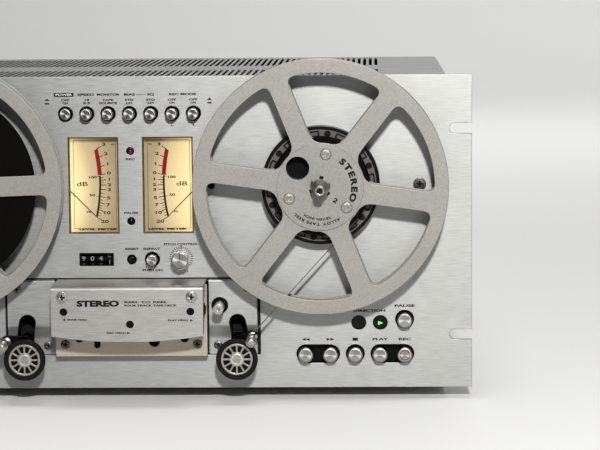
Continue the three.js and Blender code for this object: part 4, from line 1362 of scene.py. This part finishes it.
def reel_print():
    number = lettering("2", 0, 0, 3.3, 1.3, bold=0.06)
    return merged(*(arc_text(*label) for label in REEL_WORDS),
                  moved(number, 10.4, HUB_FACE, -9.2, turn=-38))


def hub_core():
    """The hub between the flanges with its bore and threading hole."""
    x, z, radius = THREADING_HOLE
    bore = circle(0, 0, 5.2, 40)
    return plate([circle(0, 0, 28.4, 128), bore, circle(x, z, radius + 0.2, 48)], -26.3, -15.9, 0.2)


def table_face():
    """The rubber table's raised pattern: a ring, with six bumps and six long pads round it."""
    low, high = -14.5, -14.0
    parts = [ring(26, 33.8, low - 0.05, high, 96, 0.15)]
    bump = ring(0, 2.3, low, high, 24, 0.15)
    for i in range(6):
        a = 22 + 60 * i
        x, z = polar(36.4, a)
        parts.append(moved(bump, x, 0, z))
        pads = [rounded(arc(0, 0, far, a + 30 - half, a + 30 + half, 16)
                        + arc(0, 0, near, a + 30 + half, a + 30 - half, 16), ease, 3)
                for far, near, half, ease in ((38.2, 34.0, 21, 0.9), (37.2, 35.0, 19.2, 0.4))]
        parts.append(plate(pads, low, high, 0.05))
    return merged(*parts)


def reel_table():
    return lathe([(0, -10), (34.4, -10), (34.4, -14.0), (39.1, -14.0), (39.1, -14.15), (41.3, -14.15),
                  (41.35, -3.1), (11, -3.1), (11, 4.9), (4.1, 4.9), (4.1, 49.9), (0, 49.9)], 128, 0.25)


def spindle_lock():
    core = lathe([(0, -52), (1.9, -52.2), (2.1, -53), (3.3, -53), (3.6, -52.6), (3.6, -42.6), (4.4, -41.2),
                  (6.2, -38.8), (6.35, -38), (6.35, -30.1), (0, -30.1)], 64, 0.2)
    blade = [(2.2, -30.1), (7.5, -30.1), (7.5, -36.4), (6.6, -38.0), (3.6, -38.0), (2.2, -42.0)]
    fin = plate([rounded(blade, 0.5, 3)], -1.0, 1.0, 0.25, "z")
    return merged(core, *(moved(fin, turn=a) for a in LOCK_FINS))


def make_reel(name):
    """One reel with its tape, table, spindle and lock."""
    x, z = centre(name + "_table")
    at = (x, 0, z)
    body = name + "_reel"
    turn = TURNS[name]
    low, high = corners(name + "_tape_pack")
    radius = (high.x - low.x) / 2
    threading = circle(*THREADING_HOLE, 48)
    shade = merged(plate([circle(*THREADING_HOLE[:2], 8.15, 48)], -17.2, -16.4, 0.0),
                   ring(4.2, 9.0, -27.6, -26.7, 48))
    near, far = TAPE_SPAN
    ease = 0.3
    pack = lathe([(28.7, near), (radius - 0.35, near), (radius, near + ease), (radius, far - ease),
                  (radius - 0.35, far), (28.7, far)], 160, 0.08)
    # Piece, mesh, finish and the CAD node that it replaces.
    for piece, mesh, finish, replaced in (
            ("front_disc", flange(turn, *FRONT_DISC, [circle(0, 0, 9.5, 48), threading]), "reel",
             "front_flange"),
            ("hub_plate", hub_plate(), "hub", None),
            ("reel_print", reel_print(), "ink", None),
            ("rear_disc", flange(turn, *REAR_DISC, [circle(0, 0, 12, 48)]), "reel", "rear_flange"),
            ("hub_core", hub_core(), "hub", None),
            ("wound_tape", pack, "tape", "tape_pack"),
            ("table_disc", reel_table(), "black", "table"),
            ("table_face", table_face(), "rubber", None),
            ("reel_shade", shade, "black", None),
            ("table_felt", ring(34.45, 39.05, -14.25, -13.6, 128, 0.1), "felt", None),
            ("spindle", ring(0, 3.9, -29.7, -10.5, 48, 0.2), "chrome", None)):
        add(f"{name}_{piece}", mesh, finish, body, at, replaces=[f"{name}_{replaced}"] if replaced else ())
    spots = [(*polar(SCREW_RING, a), 25 + a) for a in REEL_SCREWS]
    add_screws(f"{name}_reel_screws", 3.75, 1.6, [(u, -27.3, v, turned) for u, v, turned in spots], "roller",
               body=body, at=at, dome=0.15)
    lock = f"{name}_lock"
    # A dark disc in the lock's shallow front bore, as painted shade.
    face = lathe([(0, -52.9), (2.6, -52.9), (2.8, -53), (2.8, -52.2), (0, -52.2)], 40)
    add(f"{name}_spindle_lock", spindle_lock(), "screw", lock, at, replaces=[lock])
    add(f"{name}_lock_bore_shade", face, "ink", lock, at)


make_reel("supply")
make_reel("takeup")

# ---- tape between the reels and the rollers

STRAND_HALF = 0.12


def strand(path):
    """A thin ribbon as wide as the tape, along a path of (x, z) points."""
    line = [Vector(p) for p in path]
    rims = [[], []]
    for i, here in enumerate(line):
        along = line[min(i + 1, len(line) - 1)] - line[max(i - 1, 0)]
        side = Vector((-along.y, along.x)).normalized() * STRAND_HALF
        rims[0].append(tuple(here + side))
        rims[1].append(tuple(here - side))
    return plate([rims[0] + rims[1][::-1]], *TAPE_SPAN, 0.0)


def run(start, end, steps=12):
    """Points along a straight run, in even steps."""
    return [(start[0] + (end[0] - start[0]) * i / steps, start[1] + (end[1] - start[1]) * i / steps)
            for i in range(steps)]


def make_strands():
    starts = {"left": (-163.6, 82.2), "right": (158.9, 122.1)}
    bends = {"left": ((58, 14), (194, 370)), "right": ((138, 186), (6, -190))}
    for name, side in SIDES:
        post = (side * (ARM_PIVOT[0] + POSTS[name][0]), ARM_PIVOT[1] + POSTS[name][1])
        over, under = bends[name]
        bend = arc(*post, 2.02, *over, 6)
        wrap = arc(*centre(f"{name}_roller"), 10.08, *under, 40)
        path = run(starts[name], bend[0]) + bend + wrap
        piece = add(f"{name}_tape_strand", strand(path), "strand", None)
        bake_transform(piece)


make_strands()

# ---- casework, rear panel and feet

CASE_TOP = 220.2
CASE_HALF = 223.3
CASE_REAR = 297.0
SHEET = 1.2
VENT_ROWS = ((22, 103), (163, 273))
VENT_PITCH = 4.4
VENT_COUNT = 80
REAR_SLOTS = 24


def top_cover():
    """The bonnet: one sheet bent into a U, with two rows of fine slots."""
    path = [(CASE_HALF, 2), (CASE_HALF, CASE_TOP), (-CASE_HALF, CASE_TOP), (-CASE_HALF, 2)]
    shell = plate([bent_sheet(path, SHEET, 2.4)], 4.4, CASE_REAR - 0.05, 0.2)
    slots = []
    for low, high in VENT_ROWS:
        for i in range(VENT_COUNT):
            x = (i - (VENT_COUNT - 1) / 2) * VENT_PITCH
            slot = arc(x, high - 1.1, 1.1, 0, 180, 4) + arc(x, low + 1.1, 1.1, 180, 360, 4)
            slots.append(plate([slot], CASE_TOP - 3, CASE_TOP + 1, 0.0, "z"))
    return carved(shell, merged(*slots))


def turned_to(mesh, degrees, x, y, z):
    """A mesh that faces the front, turned about the vertical and moved."""
    return transformed(mesh, Matrix.Translation((x, y, z)) @ spin(degrees, "Z"))


def on_rear(mesh, x=0.0, z=0.0):
    """A mesh that faces the front from y = 0, set on the rear panel's outer face at (x, z)."""
    return rear_turned(moved(mesh, -x, -CASE_REAR, z))


def rear_sheet():
    """The rear panel with its inlet opening and a row of slots."""
    half = CASE_HALF - SHEET - 0.3
    holes = [rectangle(-176, -150, 26, 44, 1.5)]
    for i in range(REAR_SLOTS):
        x = -100 + i * 6.0
        holes.append(stadium(x - 1.2, x + 1.2, 0, 1.2, 6))
        holes[-1] = [(px, pz + (150 if pz < 0 else 185)) for px, pz in holes[-1]]
    outline = rectangle(-half, half, 4, CASE_TOP - SHEET - 0.3, 1.0)
    return plate([outline] + holes, CASE_REAR - 2, CASE_REAR, 0.2)


def rear_connectors():
    """The socket plate, and the parts of each phono socket by finish."""
    board = on_rear(plate([rectangle(-150, -40, 20, 70, 2.0)], -1.9, 0.3, 0.3))
    barrel = lathe([(2.6, -5.9), (4.15, -5.9), (4.15, -2.6), (6.6, -2.6), (6.6, -1.8), (2.6, -1.8)], 40, 0.2)
    disc = ring(1.2, 2.55, -4.9, -1.7, 32, 0.1)
    collar = ring(6.7, 8.4, -2.5, -1.8, 40, 0.15)
    shells, cores = [], {"red_ink": [], "white_ink": []}
    for column in range(4):
        for z, core in ((56, "white_ink"), (32, "red_ink")):
            x = 55 + column * 26
            shells.append(on_rear(barrel, x, z))
            cores[core] += [on_rear(disc, x, z), on_rear(collar, x, z)]
    return board, merged(*shells), {key: merged(*parts) for key, parts in cores.items()}


def mains_inlet():
    """A recessed three-pin inlet with its flange, and its pins."""
    opening = rectangle(150.5, 175.5, 26.5, 43.5, 2)
    well = merged(plate([rectangle(146, 180, 22, 48, 3), opening], -3.9, 0.2, 0.4),
                  plate([rectangle(149.6, 176.4, 25.6, 44.4, 2), opening], -0.1, 12, 0.0),
                  plate([rectangle(149.7, 176.3, 25.7, 44.3, 2)], 10.6, 12, 0.0))
    pins = [block(x - 2.2, x + 2.2, -1, 11, z - 1, z + 1, 0.2)
            for x, z in ((156.5, 33.2), (169.5, 33.2), (163, 38.6))]
    return on_rear(well), on_rear(merged(*pins))


# Words on the rear panel: text, x, z, height and overall width.
REAR_WORDS = (
    ("LINE IN", 68, 73.5, 3.0, 16), ("LINE OUT", 120, 73.5, 3.0, 19), ("L", 36, 56, 3.0, 2.4),
    ("R", 36, 32, 3.0, 2.6), ("AC IN", -163, 53, 3.0, 13), ("GND", -118, 53, 3.0, 9),
)


def upright(mesh):
    """A lathe shape whose axis is turned from y to z."""
    return transformed(mesh, spin(90, "X"))


def make_case():
    add("bonnet", top_cover(), "case", replaces=["top_cover"])
    add("rear_sheet", rear_sheet(), "case", replaces=["rear_panel"])
    board, shells, cores = rear_connectors()
    add("socket_plate", board, "black")
    add("socket_shells", shells, "chrome")
    for finish, mesh in cores.items():
        add(f"socket_{finish}", mesh, finish)
    inlet, pins = mains_inlet()
    add("mains_inlet", inlet, "black")
    add("mains_pins", pins, "chrome")
    labels = [on_rear(words(text, 0, 0, height, width), x, z) for text, x, z, height, width in REAR_WORDS]
    add("rear_print", merged(*labels), "white_ink")
    spots = [(x, z) for x in (-212, -75, 75, 212) for z in (12, 208)] + [(-212, 110), (212, 110)]
    add_screws("rear_screws", 3.6, 1.6, spots, turned=on_rear)
    terminal = lathe([(0, -5.8), (2, -5.8), (2, -4.4), (5.5, -4.2), (5.5, -1), (4, 0.2), (0, 0.2)], 24, 0.3)
    add("ground_terminal", on_rear(terminal, -118, 40), "steel")
    spots = [(degrees, x, y, z) for degrees, x in ((-90, -CASE_HALF + 1.2), (90, CASE_HALF - 1.2))
             for y in (30, 270) for z in (16, 200)]
    add_screws("side_screws", 4.2, 1.1, spots, "dark_chrome", turned=turned_to)
    foot = upright(lathe([(0, 0), (10, 0), (11.6, 0.5), (12, 1.4), (13.6, 2.6), (14.9, 9.4), (0, 9.4)],
                         48, 0.25))
    washer = upright(lathe([(0, 2.4), (5, 2.4), (5, 0.12), (6.5, 0.12), (6.5, 3), (0, 3)], 32))
    for end in ("front", "rear"):
        for side in ("left", "right"):
            low, high = corners(f"foot_{end}_{side}")
            at = ((low.x + high.x) / 2, (low.y + high.y) / 2, low.z)
            name = f"{end}_{side}_foot"
            add(name, foot, "rubber", at=at, replaces=[f"foot_{end}_{side}"])
            add(name + "_ring", washer, "black", at=at)


make_case()
set_finish("steel", "chassis", "capstan_motor", "supply_motor", "takeup_motor")
set_finish("iron", "power_transformer")
set_finish("board", "circuit_board")

# ---- floor, backdrop and light

FLOOR_FRONT = -5.0
WALL_Y = 4.8
WALL_TOP = 5.0
WALL_BEND = 1.6
STAGE_HALF = 6.5


def backdrop():
    """A pale floor that curves up into a wall behind the object; the floor further in front is painted dark,
    a painted shade that darkens what the panel reflects.
    """
    path = [(FLOOR_FRONT, 0.0)] + [(WALL_Y - WALL_BEND + y, WALL_BEND + z)
                                   for y, z in arc(0, 0, WALL_BEND, -90, 0, 24)] + [(WALL_Y, WALL_TOP)]
    shape = bmesh.new()
    rows = [[shape.verts.new((x, y, z)) for y, z in path] for x in (-STAGE_HALF, STAGE_HALF)]
    for i in range(len(path) - 1):
        shape.faces.new((rows[0][i], rows[0][i + 1], rows[1][i + 1], rows[1][i]))
    bmesh.ops.recalc_face_normals(shape, faces=shape.faces)
    mesh = bpy.data.meshes.new("backdrop")
    shape.to_mesh(mesh)
    shape.free()
    mesh.shade_smooth()
    material, tree, shader = new_material("pale_paper", 0.85)
    depth = node(tree, "SeparateXYZ", {"Vector": node(tree, "TexCoord").outputs["Object"]}).outputs["Y"]
    # Painted shade: the floor darkens from 0.42 m to 0.9 m in front of the origin and stays dark beyond.
    near = between(tree, depth, 0.0, 1.0, -0.9, -0.42)
    tree.links.new(shades(tree, near, (0.0, (0.08, 0.08, 0.08)), (1.0, (0.80, 0.80, 0.785))),
                   shader.inputs["Base Color"])
    mesh.materials.append(material)
    piece = placed("backdrop", mesh)


def area_light(name, place, target, size, power, color):
    data = bpy.data.lights.new(name, "AREA")
    data.shape = "RECTANGLE"
    data.size, data.size_y = size
    data.energy = power
    data.color = color
    lamp = placed(name, data)
    lamp.location = place
    lamp.rotation_euler = (Vector(target) - Vector(place)).to_track_quat("-Z", "Y").to_euler()
    lamp.visible_camera = False


# Name, place, target, size, power in watts and colour.
WHITE = (1.0, 1.0, 1.0)
LIGHTS = (
    ("key", (0.3, -2.4, 1.12), (0.17, 0.0, 0.12), (0.15, 0.15), 58, (1.0, 0.99, 0.97)),
    ("sky", (0.3, -0.7, 2.6), (0.25, -0.35, 0.0), (1.6, 1.0), 18, WHITE),
    ("wall_wash", (1.0, 2.6, 2.8), (0.8, 4.4, 0.4), (3.0, 1.0), 44, WHITE),
    ("low_fill", (0.3, -0.6, 0.03), (0.2, 0.0, 0.03), (0.7, 0.04), 0.22, WHITE),
    ("rear", (0.2, 2.3, 1.5), (0.1, 0.4, 0.0), (1.6, 0.8), 9, WHITE),
)
WORLD_STRENGTH = 0.22


def studio():
    for light in LIGHTS:
        area_light(*light)
    world = bpy.data.worlds.new("studio")
    world.use_nodes = True
    tree = world.node_tree
    background = tree.nodes["Background"]
    split = node(tree, "SeparateXYZ", {"Vector": node(tree, "TexCoord").outputs["Generated"]})
    across = between(tree, split.outputs["X"], 0.2, 1.7, -1.0, 1.0)
    rise = between(tree, split.outputs["Z"], 0.25, 0.85, 0.0, 0.6)
    tone = node(tree, "Math", {0: across, 1: rise}, operation="MULTIPLY").outputs["Value"]
    tree.links.new(shades(tree, tone, (0.0, (0.0, 0.0, 0.0)), (1.0, (1.0, 1.0, 0.985))),
                   background.inputs["Color"])
    background.inputs["Strength"].default_value = WORLD_STRENGTH
    scene = bpy.context.scene
    scene.world = world
    scene.view_settings.view_transform = "Standard"
    scene.view_settings.look = "Medium High Contrast"


backdrop()
studio()
